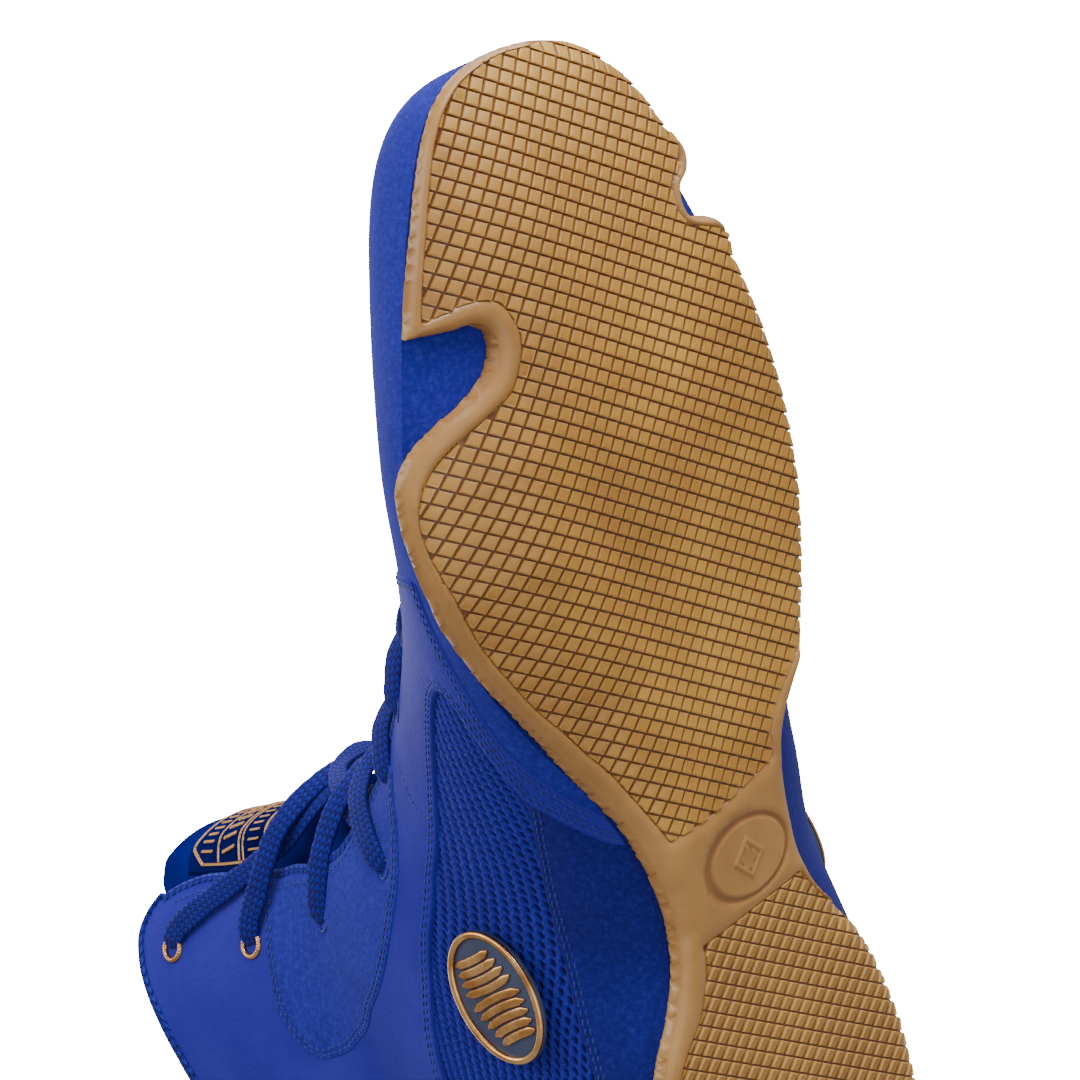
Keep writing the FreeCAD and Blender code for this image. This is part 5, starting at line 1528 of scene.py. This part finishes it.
    # ---- piping along the lace edge, and its stitch row
    e_u = np.linspace(8.75, 22.85, 150)
    es = edge_s(e_u)
    P_ = off(e_u, es - 0.004, side, 0.25 + 0 * e_u)
    N_ = normal(e_u, es, side)
    v, f = sweep(P_, N_, round_prof(2.1, 1.5, 12))
    pip = piece(nm + "_eyestay_piping", v, f, BINDING, "binding", nodes=(nm + "_eyestay_binding",), flex=True, angle=60)
    l_ = np.concatenate([[0], np.cumsum(np.linalg.norm(np.diff(P_, axis=0), axis=1))])
    nvp = len(pip.data.vertices)
    wv_p = np.tile(np.linspace(0, 5.6, 12, endpoint=False), len(P_))
    pad_ = nvp - len(wv_p)
    add_wuv(pip, np.concatenate([np.repeat(l_, 12), np.zeros(max(pad_, 0))])[:nvp], np.concatenate([wv_p, np.zeros(max(pad_, 0))])[:nvp])
    stitches(fb_, side, np.column_stack([e_u, es - 0.026])[3:-3], lambda u, s: 0.46 + 0.38 * step(u, 11.4, 11.8) * step(19.3 - u, 0, .3), r=0.17)

for side in (-1, 1):
    v, f = thread_bag[side].out()
    piece(NAMES[side] + "_thread", v, f, THREAD, "lace", angle=None)
    v, f = front_bag[side].out()
    piece(NAMES[side] + "_thread_front", v, f, THREAD, "lace", flex=True, angle=None)

# ------------------------------------------------------------------ laces
def ribbon(bag_, wu, wv, pts, width=5.4, thick=1.4, narrow0=3.5, narrow1=3.6, twist=1.15):
    """Flat woven strand through (side, u, s, offset) points."""
    P = np.array([off(np.array(u), np.array(s), sd, np.array(o)) for sd, u, s, o in pts])
    N = np.array([normal(np.array(u), np.array(s), sd) for sd, u, s, o in pts])
    PN = spline(np.concatenate([P, N * 10], 1), 12)
    l = np.concatenate([[0], np.cumsum(np.linalg.norm(np.diff(PN[:, :3], axis=0), axis=1))])
    n = int(l[-1] / 0.55)
    t = np.linspace(0, l[-1], n + 1)
    Q = np.stack([np.interp(t, l, PN[:, i]) for i in range(6)], -1)
    P, N = Q[:, :3], Q[:, 3:] / np.linalg.norm(Q[:, 3:], axis=1, keepdims=True)
    for _ in range(8):
        N[1:-1] = (N[:-2] + N[1:-1] + N[2:]) / 3
    # a slack lace turns its flat face outwards and down between the rows
    sd0 = pts[0][0]
    tw = np.array((0.75 * sd0, -0.35, -0.55)) * twist
    N = N + tw * (step(t, 1.0, 5.0) * step(0.66 * l[-1] - t, 0.0, 0.22 * l[-1]))[:, None]
    N /= np.linalg.norm(N, axis=1, keepdims=True)
    w = width * np.ones(len(t))
    w = np.minimum(w, narrow0 + (width - narrow0) * step(t, 0.5, 7.5))
    w = np.minimum(w, narrow1 + (width - narrow1) * step(l[-1] - t, 0.5, 6.0))
    w = w * (1 + 0.035 * np.sin(t * 0.55) + 0.02 * np.sin(t * 1.7 + 1.0))
    a = np.linspace(0, 2 * math.pi, 20, endpoint=False)
    c, s_ = np.cos(a), np.sin(a)
    px_ = 0.5 * np.sign(c) * abs(c) ** 0.75
    py_ = 0.5 * thick * np.sign(s_) * abs(s_) ** 0.8
    prof = np.stack([w[:, None] * px_[None], np.broadcast_to(py_, (len(t), 20)) * (1 + 0.25 * (width - w[:, None]) / width)], -1)
    v, f = sweep(P, N, prof)
    bag_.add(v, f)
    wu += np.repeat(t, 20).tolist()
    wv += (np.broadcast_to(px_, (len(t), 20)) * width).ravel().tolist()


# one strand from the top of each eyelet, across the tongue and in under the
# other row: (u, s, offset) on its own side, then on the far side
STR = [
    ([(22.5, .713, -3.2), (22.48, .716, -0.6), (22.4, .728, 1.2), (22.1, .747, 2.0), (21.6, .770, 2.2), (20.9, .797, 2.4), (20.0, .830, 2.3), (18.4, .868, 2.0),
      (16.6, .915, 1.9), (15.3, .965, 1.7)], [(14.6, .965, 1.5), (14.1, .88, 0.9), (13.8, .81, -1.2), (13.5, .72, -2.4)]),
    ([(20.3, .731, -3.2), (20.29, .733, -0.6), (20.2, .745, 1.2), (19.95, .768, 2.4), (19.5, .797, 3.5), (18.9, .835, 4.4), (18.1, .875, 4.8), (16.9, .925, 4.4),
      (15.8, .98, 3.9)], [(15.0, .96, 3.2), (14.2, .90, 2.2), (13.4, .84, 1.0), (12.7, .78, -1.4), (12.1, .71, -2.4)]),
    ([(16.9, .727, -2.6), (16.88, .730, -0.4), (16.7, .738, 1.2), (16.1, .752, 1.9), (15.3, .775, 2.2), (14.5, .805, 2.3), (13.8, .85, 2.4), (13.2, .91, 2.2),
      (12.8, .97, 2.0)], [(12.4, .95, 1.6), (12.0, .86, 0.9), (11.8, .79, -1.4), (11.5, .71, -2.4)]),
    ([(13.3, .600, -2.2), (13.29, .604, -0.2), (13.24, .622, 1.3), (13.12, .66, 1.9), (13.0, .71, 2.1), (12.85, .77, 2.3), (12.6, .85, 2.4), (12.2, .94, 2.1)],
     [(11.8, .95, 1.6), (11.4, .86, 0.8), (11.2, .79, -1.4), (10.9, .71, -2.4)]),
    ([(11.7, .70, -2.2), (11.69, .704, -0.2), (11.62, .722, 1.3), (11.42, .765, 2.1), (11.15, .84, 2.9), (10.9, .93, 2.5)],
     [(10.7, .95, 2.0), (10.55, .85, 0.9), (10.45, .79, -1.4), (10.3, .72, -2.4)]),
    ([(10.5, .71, -2.2), (10.49, .714, -0.2), (10.42, .73, 1.3), (10.22, .775, 2.1), (9.95, .85, 2.9), (9.75, .94, 2.4)],
     [(9.6, .95, 1.9), (9.5, .85, 0.9), (9.42, .79, -1.4), (9.35, .72, -2.4)]),
]
lb, lwu, lwv = Bag(), [], []
for side in (-1, 1):
    for k_, (near, far) in enumerate(STR):
        lift = 0.0 if side < 0 else 1.5
        du = 0.0 if side < 0 else -0.12
        a_ = [(side, u + du * (o > 1.5), s, o + lift * step(s, .80, .90)) for u, s, o in near]
        b_ = [(-side, u + du, s, o + lift * step(s, .84, .93)) for u, s, o in far]
        ribbon(lb, lwu, lwv, a_ + b_)
bar = [(9.4, .70, -2.2), (9.4, .704, -0.2), (9.38, .72, 1.3), (9.33, .78, 2.0), (9.3, .88, 2.2)]
ribbon(lb, lwu, lwv, [(-1, *q) for q in bar] + [(1, *q) for q in bar[::-1]], twist=0.0)
ENDS = [(22.5, 0.713, -3.0), (22.45, 0.712, -6.8), (22.35, 0.685, -9.2), (22.1, 0.63, -9.8), (21.6, 0.55, -9.8), (21.2, 0.50, -9.8), (20.9, 0.45, -9.8)]
for side in (-1, 1):
    ribbon(lb, lwu, lwv, [(side, *q) for q in ENDS], width=3.0, thick=1.6, narrow0=2.6, narrow1=2.4, twist=0.0)
v, f = lb.out()
lace_ob = piece("lace_braid", v, f, BRAID, "lace", nodes=("lace",), angle=None)
add_wuv(lace_ob, lwu, lwv)

# stitching round the slits where the laces pass through the suede and leather
sb_ = Bag()
for side in (-1, 1):
    for u, s in HOLES[2:]:
        c_ = off(np.array(u), np.array(s), side, np.array(0.55))
        n_ = normal(np.array(u), np.array(s), side)
        e_ = off(np.array(u), np.array(s + 0.02), side, np.array(0.55)) - c_
        e_ = e_ - n_ * (e_ @ n_)
        e_ /= np.linalg.norm(e_)
        w_ = np.cross(n_, e_)
        ang = np.linspace(0, 2 * math.pi, 28, endpoint=False)
        ring = c_ + np.cos(ang)[:, None] * e_ * 1.3 + np.sin(ang)[:, None] * w_ * 2.1
        v, f = sweep(ring, np.repeat(n_[None], 28, 0), round_prof(0.55, 0.5, 8), closed_path=True)
        sb_.add(v, f)
v, f = sb_.out()
piece("eyelet_slit_stitching", v, f, THREAD, "lace", angle=None)

# ------------------------------------------------------------------ grommets
def rings_about(at, loop_, n=72, a=0.0, b=0.0, wrap=True, ripple=None):
    """Loop of (radius change, height) turned about an ellipse of half-axes a, b."""
    ang = np.linspace(0, 2 * math.pi, n, endpoint=False)
    V_ = []
    for r_, z_ in loop_:
        zz = z_ + (ripple(ang, r_, z_) if ripple else 0 * ang)
        V_.append(at((a + r_) * np.cos(ang), (b + r_) * np.sin(ang), zz))
    V_ = np.array(V_)
    m_ = len(loop_)
    f_ = grid_faces(m_, n, wrap=True)
    if wrap:
        f_ += [[(m_ - 1) * n + j, (m_ - 1) * n + (j + 1) % n, (j + 1) % n, j] for j in range(n)]
    else:
        f_ += [list(range(n))[::-1], list(range((m_ - 1) * n, m_ * n))]
    return V_.reshape(-1, 3), f_


gb = Bag()
for side in (-1, 1):
    for u, s in HOLES[:2]:
        c_ = off(np.array(u), np.array(s), side, np.array(0.0))
        n_ = normal(np.array(u), np.array(s), side)
        e_ = np.cross(n_, (0.3, 0.2, 1.0))
        e_ /= np.linalg.norm(e_)
        w_ = np.cross(n_, e_)

        def at(x, y, z, c_=c_, n_=n_, e_=e_, w_=w_):
            return c_ + x[:, None] * e_ + y[:, None] * w_ + (np.zeros(len(x)) + z)[:, None] * n_
        prof = [(1.95, -4.0), (1.95, -0.4), (1.98, 0.35), (2.12, 0.75), (2.36, 0.98), (2.65, 1.02), (2.95, 0.86), (3.15, 0.55), (3.22, 0.22), (3.2, 0.0), (2.4, -0.05), (2.32, -4.0)]
        v, f = rings_about(at, prof, 120, ripple=lambda a_, r_, z_: 0.035 * np.sin(26 * a_) * (2.2 < r_ < 3.18 and z_ > 0.2))
        gb.add(v, f)
v, f = gb.out()
piece("grommet_rings", v, f, GOLD, "gold", nodes=("eyelet_grommets",), angle=50)

# ------------------------------------------------------------------ badges
for side in (-1, 1):
    nm = NAMES[side]
    u0, s0 = 13.75, 0.294
    n_ = normal(np.array(u0), np.array(s0), side)
    c_ = off(np.array(u0), np.array(s0), side, np.array(0.0))
    ax = off(np.array(u0 + 0.5), np.array(s0 - 0.10), side, np.array(0.0)) - c_
    ax = ax - n_ * (ax @ n_)
    ax /= np.linalg.norm(ax)
    ay = np.cross(n_, ax)

    def at(x, y, z, c_=c_, n_=n_, ax=ax, ay=ay):
        x, y = np.atleast_1d(x), np.atleast_1d(y)
        return c_ + x[:, None] * ax + y[:, None] * ay + (np.zeros(len(x)) + z + 1.15)[:, None] * n_
    prof = [(-9.9, 0.0), (-0.3, 0.0), (0, 0.15), (0, 0.8), (-0.12, 1.0), (-0.4, 1.08), (-3, 1.14), (-6, 1.2), (-9.9, 1.24)]
    v, f = rings_about(at, prof, 110, 14.5, 10.0, wrap=False)
    piece(nm + "_badge_plate", v, f, ENAMEL, "badge", nodes=(nm + "_badge_base",), angle=40)
    prof = [(0.0, 1.15), (0.02, 1.5), (-0.16, 1.8), (-0.5, 1.95), (-0.95, 1.95), (-1.3, 1.8), (-1.46, 1.5), (-1.46, 1.15)]
    v, f = rings_about(at, prof, 120, 14.5, 10.0)
    piece(nm + "_badge_ring", v, f, GOLD, "gold", nodes=(nm + "_badge_rim",), angle=50)
    # generic mark: a fan of plain raised bars
    eb = Bag()
    for i in range(9):
        x0 = -8.8 + 2.2 * i
        h_ = 6.5 - 0.30 * abs(i - 4) ** 1.35
        yy = np.linspace(-h_, h_, 9)
        xx = x0 + 0.22 * yy + 0.018 * yy * yy * (1 if i > 3 else -1)
        zz = 1.42 + 0.10 * np.cos(yy / h_ * 1.4)
        P_ = at(xx, yy, zz)
        k_ = np.clip((h_ - abs(yy)) / 0.7, 0.25, 1)[:, None, None]
        v, f = sweep(P_, np.repeat(n_[None], 9, 0), round_prof(1.82, 0.78, 12, 0.7)[None] * k_)
        eb.add(v, f)
    v, f = eb.out()
    piece(nm + "_badge_bars", v, f, GOLD, "gold", angle=50)

# ------------------------------------------------------------------ collar
TAB_LO = 17.35
TOP_END = 0.808


def top_loop(kk_, n_sec=28):
    """Closed sections of the rolled collar binding along k = -1..1."""
    rows, wu, wv = [], [], []
    ph = np.linspace(0, 2 * math.pi, n_sec, endpoint=False)
    cu, co = np.sin(ph), np.cos(ph)
    cu = np.sign(cu) * abs(cu) ** 0.8
    co = np.sign(co) * abs(co) ** 0.8
    l = 0.0
    last = None
    for k in kk_:
        sd, s = (-1 if k < 0 else 1), abs(k) * TOP_END
        t = top_u(np.array(s)) - corner(s)
        p = off(t + 0.205 + 0.125 * cu, np.full(n_sec, s), sd, -0.85 + 1.85 * co)
        rows.append(p)
        m = p.mean(0)
        if last is not None:
            l += np.linalg.norm(m - last)
        last = m
        wu.append(np.full(n_sec, l))
        seg = np.linalg.norm(p - np.roll(p, 1, 0), axis=1)
        wv.append(np.cumsum(seg))
    return np.array(rows), np.concatenate(wu), np.concatenate(wv)


rows, wu_, wv_ = top_loop(np.linspace(-1, 1, 240))
nr, ns = rows.shape[:2]
f = grid_faces(nr, ns, wrap=True) + [list(range(ns))[::-1], list(range((nr - 1) * ns, nr * ns))]
ob = piece("collar_braid", rows.reshape(-1, 3), f, BINDING, "binding", nodes=("collar_binding",), angle=None)
add_wuv(ob, wu_, wv_)

# backstay over the heel seam
tt, kk_ = np.linspace(0, 1, 70), np.linspace(-1, 1, 25)
T_, K_ = np.meshgrid(tt, kk_, indexing="ij")
U_ = 19.25 + 3.8 * T_
S_ = abs(K_) * (0.052 - 0.014 * T_)
ed = np.minimum(1 - abs(K_), np.minimum(T_, 1 - T_) * 12) / 0.22
ro = np.sqrt(np.maximum(1 - (1 - np.clip(ed, 0, 1)) ** 2, 0))
tp, bt = np.zeros(T_.shape + (3,)), np.zeros(T_.shape + (3,))
for sd in (-1, 1):
    m = (K_ < 0) if sd < 0 else (K_ >= 0)
    tp[m] = off(U_[m], S_[m], sd, 0.62 + 0.45 * ro[m])
    bt[m] = off(U_[m], S_[m], sd, np.full(m.sum(), 0.30))
v, f = shell(tp, bt)
piece("backstay_leather", v, f, PIPING, "leather", nodes=("backstay",), angle=50)
bb = Bag()
for sd in (-1, 1):
    stitches(bb, sd, np.column_stack([np.linspace(19.35, 22.95, 60), 0.036 - 0.010 * np.linspace(0, 1, 60)]), 1.02, slant=0.05)
v, f = bb.out()
piece("backstay_thread", v, f, THREAD, "lace", angle=None)

# suede tab closing the heel seam down to the sole
tt, kk_ = np.linspace(0, 1, 50), np.linspace(-1, 1, 31)
T_, K_ = np.meshgrid(tt, kk_, indexing="ij")
U_ = TAB_LO + (19.6 - TAB_LO) * T_
S_ = abs(K_) * (0.125 - 0.070 * T_ ** 0.8)
ed = np.minimum(1 - abs(K_), (1 - T_) * 12) / 0.18
ro = np.sqrt(np.maximum(1 - (1 - np.clip(ed, 0, 1)) ** 2, 0))
tp, bt = np.zeros(T_.shape + (3,)), np.zeros(T_.shape + (3,))
for sd in (-1, 1):
    m = (K_ < 0) if sd < 0 else (K_ >= 0)
    tp[m] = off(U_[m], S_[m], sd, 0.45 + 0.40 * ro[m])
    bt[m] = off(U_[m], S_[m], sd, np.full(m.sum(), -0.4))
v, f = shell(tp, bt)
piece("heel_tab_suede", v, f, SUEDE_D, "suede", angle=50)

# ------------------------------------------------------------------ linings and pads
def lining_out(u, s):
    k = np.clip((u - 19.6) / 1.0, 0, 1)
    k = k * k * (3 - 2 * k)
    m = np.clip((0.70 - s) / 0.10, 0, 1)
    return -2.8 - 3.6 * k * m


def puff(ob, pressure, cap_mm, voxel=3.0, frames=14):
    """Cloth under light pressure, with how far a point may move capped, then applied."""
    me0 = ob.data
    r_ = ob.modifiers.new("remesh", "REMESH")
    r_.mode = "VOXEL"
    r_.voxel_size = voxel * MM
    dg = bpy.context.evaluated_depsgraph_get()
    me1 = bpy.data.meshes.new_from_object(ob.evaluated_get(dg))
    ob.modifiers.clear()
    ob.data = me1
    base = np.empty(len(me1.vertices) * 3)
    me1.vertices.foreach_get("co", base)
    base = base.reshape(-1, 3)
    c_ = ob.modifiers.new("cloth", "CLOTH")
    c_.settings.use_pressure = True
    c_.settings.uniform_pressure_force = pressure
    c_.settings.effector_weights.gravity = 0.0
    c_.settings.quality = 5
    c_.point_cache.frame_start, c_.point_cache.frame_end = 1, frames
    for fr in range(1, frames + 1):
        scene.frame_set(fr)
    dg = bpy.context.evaluated_depsgraph_get()
    ev = ob.evaluated_get(dg).data
    co = np.empty(len(ev.vertices) * 3)
    ev.vertices.foreach_get("co", co)
    co = co.reshape(-1, 3)
    ob.modifiers.clear()
    scene.frame_set(1)
    d = co - base
    ln = np.linalg.norm(d, axis=1, keepdims=True)
    d = np.where(np.isfinite(d), d, 0) * np.minimum(1, cap_mm * MM / np.maximum(ln, 1e-9))
    me1.vertices.foreach_set("co", (base + d).ravel())
    me1.polygons.foreach_set("use_smooth", [True] * len(me1.polygons))
    me1.update()
    if not me1.materials:
        for m in me0.materials:
            me1.materials.append(m)
    return ob


for side in (-1, 1):
    nm = NAMES[side]
    ng, ms = 110, 40
    T_, G_ = np.meshgrid(np.linspace(0, 1, ng), np.linspace(0, 1, ms), indexing="ij")
    lo = np.where(T_ < 0.62, 0.03, 0.03 - 0.018 * np.clip((T_ - 0.62) / 0.08, 0, 1))
    U_ = 8.62 + (22.5 - 8.62) * T_
    hi = edge_s(U_) - 0.045
    S_ = lo + (hi - lo) * G_
    # up to the binding at the top
    tu = top_u(S_) + 0.14
    U_ = 8.62 + (tu - 8.62) * T_
    o_ = lining_out(U_, S_) + 3.6 * step(U_, 22.2, 23.0) * step(0.70 - S_, 0, .1) * 0.9
    # quilting channels round the collar
    for ch in (21.1, 21.9):
        o_ = o_ + 0.7 * np.exp(-((U_ - ch) / 0.10) ** 2) * step(0.66 - S_, 0, .08)
    v, f = shell(off(U_, S_, side, o_), off(U_, S_, side, o_ - 0.9))
    piece(nm + "_shaft_lining", v, f, LINING, "lining", nodes=(nm + "_lining",), flex=True, angle=60)
    ng, ms = 30, 50
    T_, G_ = np.meshgrid(np.linspace(20.95, 22.4, ng), np.linspace(0.03, 0.58, ms), indexing="ij")
    edge = np.minimum(np.minimum(T_ - 20.95, 22.4 - T_) / 0.35, np.minimum(G_ - 0.03, 0.58 - G_) / 0.05)
    ro = np.sqrt(np.maximum(1 - (1 - np.clip(edge, 0, 1)) ** 2, 0))
    mid = 0.5 * (-1.7 + np.minimum(lining_out(T_, G_) + 0.25, -2.1))
    half = 0.5 * (-1.7 - np.minimum(lining_out(T_, G_) + 0.25, -2.1)) - 0.15
    v, f = shell(off(T_, G_, side, mid + half * (0.25 + 0.75 * ro)), off(T_, G_, side, mid - half * (0.25 + 0.75 * ro)))
    pad = piece(nm + "_collar_pad", v, f, FOAM_B, "foam", nodes=(nm + "_collar_foam",), angle=60)
    pad = puff(pad, 3.0, 0.5, 1.8)

T_, K_ = np.meshgrid(np.linspace(0.7, 8.5, 70), np.linspace(-1, 1, 81), indexing="ij")
S_ = 1 - abs(K_) * 0.98
tp, bt = np.zeros(T_.shape + (3,)), np.zeros(T_.shape + (3,))
for sd in (-1, 1):
    m = (K_ < 0) if sd < 0 else (K_ >= 0)
    tp[m] = off(T_[m], S_[m], sd, np.full(m.sum(), -2.8))
    bt[m] = off(T_[m], S_[m], sd, np.full(m.sum(), -3.7))
v, f = shell(tp, bt)
piece("toe_lining", v, f, LINING, "lining", nodes=("vamp_lining",), flex=True, angle=60)


def copy_of(node, name, mat, voxel=None, body="boot", flex=True):
    """New mesh from a hidden layer's own shape, with its edges softened when a voxel size is given."""
    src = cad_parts[node]
    me = src.data.copy()
    me.name = name
    ob = bpy.data.objects.new(name, me)
    scene.collection.objects.link(ob)
    me.materials.clear()
    me.materials.append(mat)
    if voxel:
        r_ = ob.modifiers.new("remesh", "REMESH")
        r_.mode = "VOXEL"
        r_.voxel_size = voxel * MM
        s_ = ob.modifiers.new("smooth", "SMOOTH")
        s_.iterations = 4
        dg = bpy.context.evaluated_depsgraph_get()
        me2 = bpy.data.meshes.new_from_object(ob.evaluated_get(dg))
        ob.modifiers.clear()
        ob.data = me2
        if not me2.materials:
            me2.materials.append(mat)
        me2.polygons.foreach_set("use_smooth", [True] * len(me2.polygons))
    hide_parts(node)
    if flex:
        FLEX.append(ob)
    else:
        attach(ob, body)
    return ob


copy_of("sockliner", "sock_pad", LINING, 1.6)
copy_of("insole_board", "insole_fibreboard", BOARD)
copy_of("midsole", "midsole_foam", FOAM, 1.6)
for node, mat in (("toe_puff", STIFF), ("heel_counter", STIFF), ("lace_aglets", AGLET)):
    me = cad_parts[node].data
    for i in range(max(len(me.materials), 1)):
        if i < len(me.materials):
            me.materials[i] = mat
        else:
            me.materials.append(mat)

# ------------------------------------------------------------------ tongue
TE = [(9.0, 0.84), (10.5, 0.80), (12.5, 0.72), (14.5, 0.70), (16.5, 0.73), (18.5, 0.76), (22.0, 0.775), (24.0, 0.80)]


def tongue_off(u, s):
    k = np.clip((s - (edge_s(np.minimum(u, 22.9)) + 0.015)) / 0.09, 0, 1)
    return -4.9 + 4.0 * k * k * (3 - 2 * k)


def tongue_grid(u0, u1, n, m, inset=0.0, round_top=0.95):
    U_, K_ = np.meshgrid(np.linspace(u0, u1, n), np.linspace(-1, 1, m), indexing="ij")
    e = smooth(U_, TE) + inset
    c = np.clip((U_ - (u1 - round_top)) / round_top, 0, 1)
    w = (1 - e) * (0.60 + 0.40 * np.sqrt(np.maximum(1 - c ** 2.6, 0)))
    S_ = 1 - abs(K_) * w
    return U_, K_, S_


def both(U_, K_, S_, o):
    r_ = np.zeros(U_.shape + (3,))
    for sd in (-1, 1):
        m = (K_ < 0) if sd < 0 else (K_ >= 0)
        r_[m] = off(U_[m], S_[m], sd, o[m])
    return r_


U_, K_, S_ = tongue_grid(8.95, 23.9, 190, 90)
ed = np.minimum(np.minimum(1 - abs(K_), (U_ - 8.95) / 1.2), (23.9 - U_) / 1.1) / 0.10
ro = np.sqrt(np.maximum(1 - (1 - np.clip(ed, 0, 1)) ** 2, 0))
base = tongue_off(U_, S_)
pad_ = 0.55 * ro + 0.35 * np.sin((U_ - 9) * 1.9) ** 2 * step(20.5 - U_, 0, 2) * ro
pad_ = pad_ - 0.30 * np.exp(-((abs(K_) - 0.78) / 0.035) ** 2) * step(U_, 19, 21)
v, f = shell(both(U_, K_, S_, base - 0.5 + pad_), both(U_, K_, S_, base - 1.3 + 0 * pad_))
piece("tongue_satin", v, f, SATIN, "lining", nodes=("tongue_face",), flex="tongue", angle=60)
U_, K_, S_ = tongue_grid(9.7, 23.5, 110, 44, 0.015)
ed = np.minimum(np.minimum(1 - abs(K_), (U_ - 9.7) / 1.2), (23.5 - U_) / 1.1) / 0.25
ro = 0.25 + 0.75 * np.sqrt(np.maximum(1 - (1 - np.clip(ed, 0, 1)) ** 2, 0))
base = tongue_off(U_, S_)
v, f = shell(both(U_, K_, S_, base - 3.25 + 1.6 * ro), both(U_, K_, S_, base - 3.25 - 1.5 * ro))
tp_ = piece("tongue_pad", v, f, FOAM_B, "foam", body="tongue", nodes=("tongue_foam",), angle=60)
tp_ = puff(tp_, 3.0, 0.4, 1.8)
U_, K_, S_ = tongue_grid(9.2, 23.8, 120, 50)
base = tongue_off(U_, S_)
v, f = shell(both(U_, K_, S_, base - 5.25), both(U_, K_, S_, base - 6.15))
piece("tongue_back_lining", v, f, LINING, "lining", body="tongue", nodes=("tongue_lining",), angle=60)

# label: satin patch with a gold embroidered frame and plain bars
LU0, LU1, LK = 19.7, 22.75, 0.14
U_, K_ = np.meshgrid(np.linspace(LU0, LU1, 60), np.linspace(-1, 1, 61), indexing="ij")
S_ = 1 - abs(K_) * LK
ed = np.minimum(1 - abs(K_), np.minimum(U_ - LU0, LU1 - U_) / (LU1 - LU0) * 2) / 0.06
ro = np.sqrt(np.maximum(1 - (1 - np.clip(ed, 0, 1)) ** 2, 0))
base = tongue_off(U_, S_)
v, f = shell(both(U_, K_, S_, base + 0.12 + 0.45 * ro), both(U_, K_, S_, base + 0.10))
piece("tongue_label_satin", v, f, LABEL, "label", body="tongue", nodes=("tongue_label",), angle=60)
gb = Bag()


def embroider(pts, r=0.42, z=0.62):
    """Raised satin-stitch line through (u, k) points."""
    q = []
    for (ua, ka), (ub, kb) in zip(pts, pts[1:]):
        n_ = max(int(max(abs(ub - ua) * 10, abs(kb - ka) * 22)), 2)
        for i in range(n_):
            q.append((ua + (ub - ua) * i / n_, ka + (kb - ka) * i / n_))
    q.append(pts[-1])
    q = np.array(q)
    sN = 1 - abs(q[:, 1]) * LK
    o = tongue_off(q[:, 0], sN) + z
    P_ = both(q[:, :1], q[:, 1:], sN[:, None], o[:, None])[:, 0]
    N_ = np.array([normal(np.array(a), np.array(s), -1 if k < 0 else 1) for (a, k), s in zip(q, sN)])
    l = np.linalg.norm(np.diff(P_, axis=0), axis=1).sum()
    n2 = max(int(l / 0.22), 4)
    acc = np.concatenate([[0], np.cumsum(np.linalg.norm(np.diff(P_, axis=0), axis=1))])
    t = np.linspace(0, acc[-1], n2 + 1)
    P2 = np.stack([np.interp(t, acc, P_[:, i]) for i in range(3)], -1)
    N2 = np.stack([np.interp(t, acc, N_[:, i]) for i in range(3)], -1)
    rr = r * (1 + 0.10 * np.sin(t * 9.0))
    prof = round_prof(2.0, 1.1, 10)[None] * rr[:, None, None]
    v, f = sweep(P2, N2, prof)
    gb.add(v, f)


H_ = LU1 - LU0
fr = lambda a, k: (LU1 - a * H_, k)
embroider([fr(.06, -.70), fr(.06, .70), fr(.16, .88), fr(.93, .88), fr(.93, -.88), fr(.16, -.88), fr(.06, -.70)])
embroider([fr(.34, -.86), fr(.34, .86)], 0.34)
embroider([fr(.60, -.86), fr(.60, .86)], 0.34)
embroider([fr(.65, -.86), fr(.65, .86)], 0.26)
for i in range(12):
    k = -0.72 + 1.44 * i / 11
    embroider([fr(.15, k), fr(.27, k)], 0.45)
for i in range(9):
    k = -0.70 + 1.40 * i / 8
    embroider([fr(.40, k - .03), fr(.54, k + .03)], 0.62)
for i in range(13):
    k = -0.74 + 1.48 * i / 12
    embroider([fr(.72, k), fr(.84, k)], 0.36)
v, f = gb.out()
piece("tongue_label_gold", v, f, GOLD_T, "gold", body="tongue", angle=None)

# ------------------------------------------------------------------ finish
for o in FLEX:
    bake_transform(o)
for o in SEWN:
    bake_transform(o)
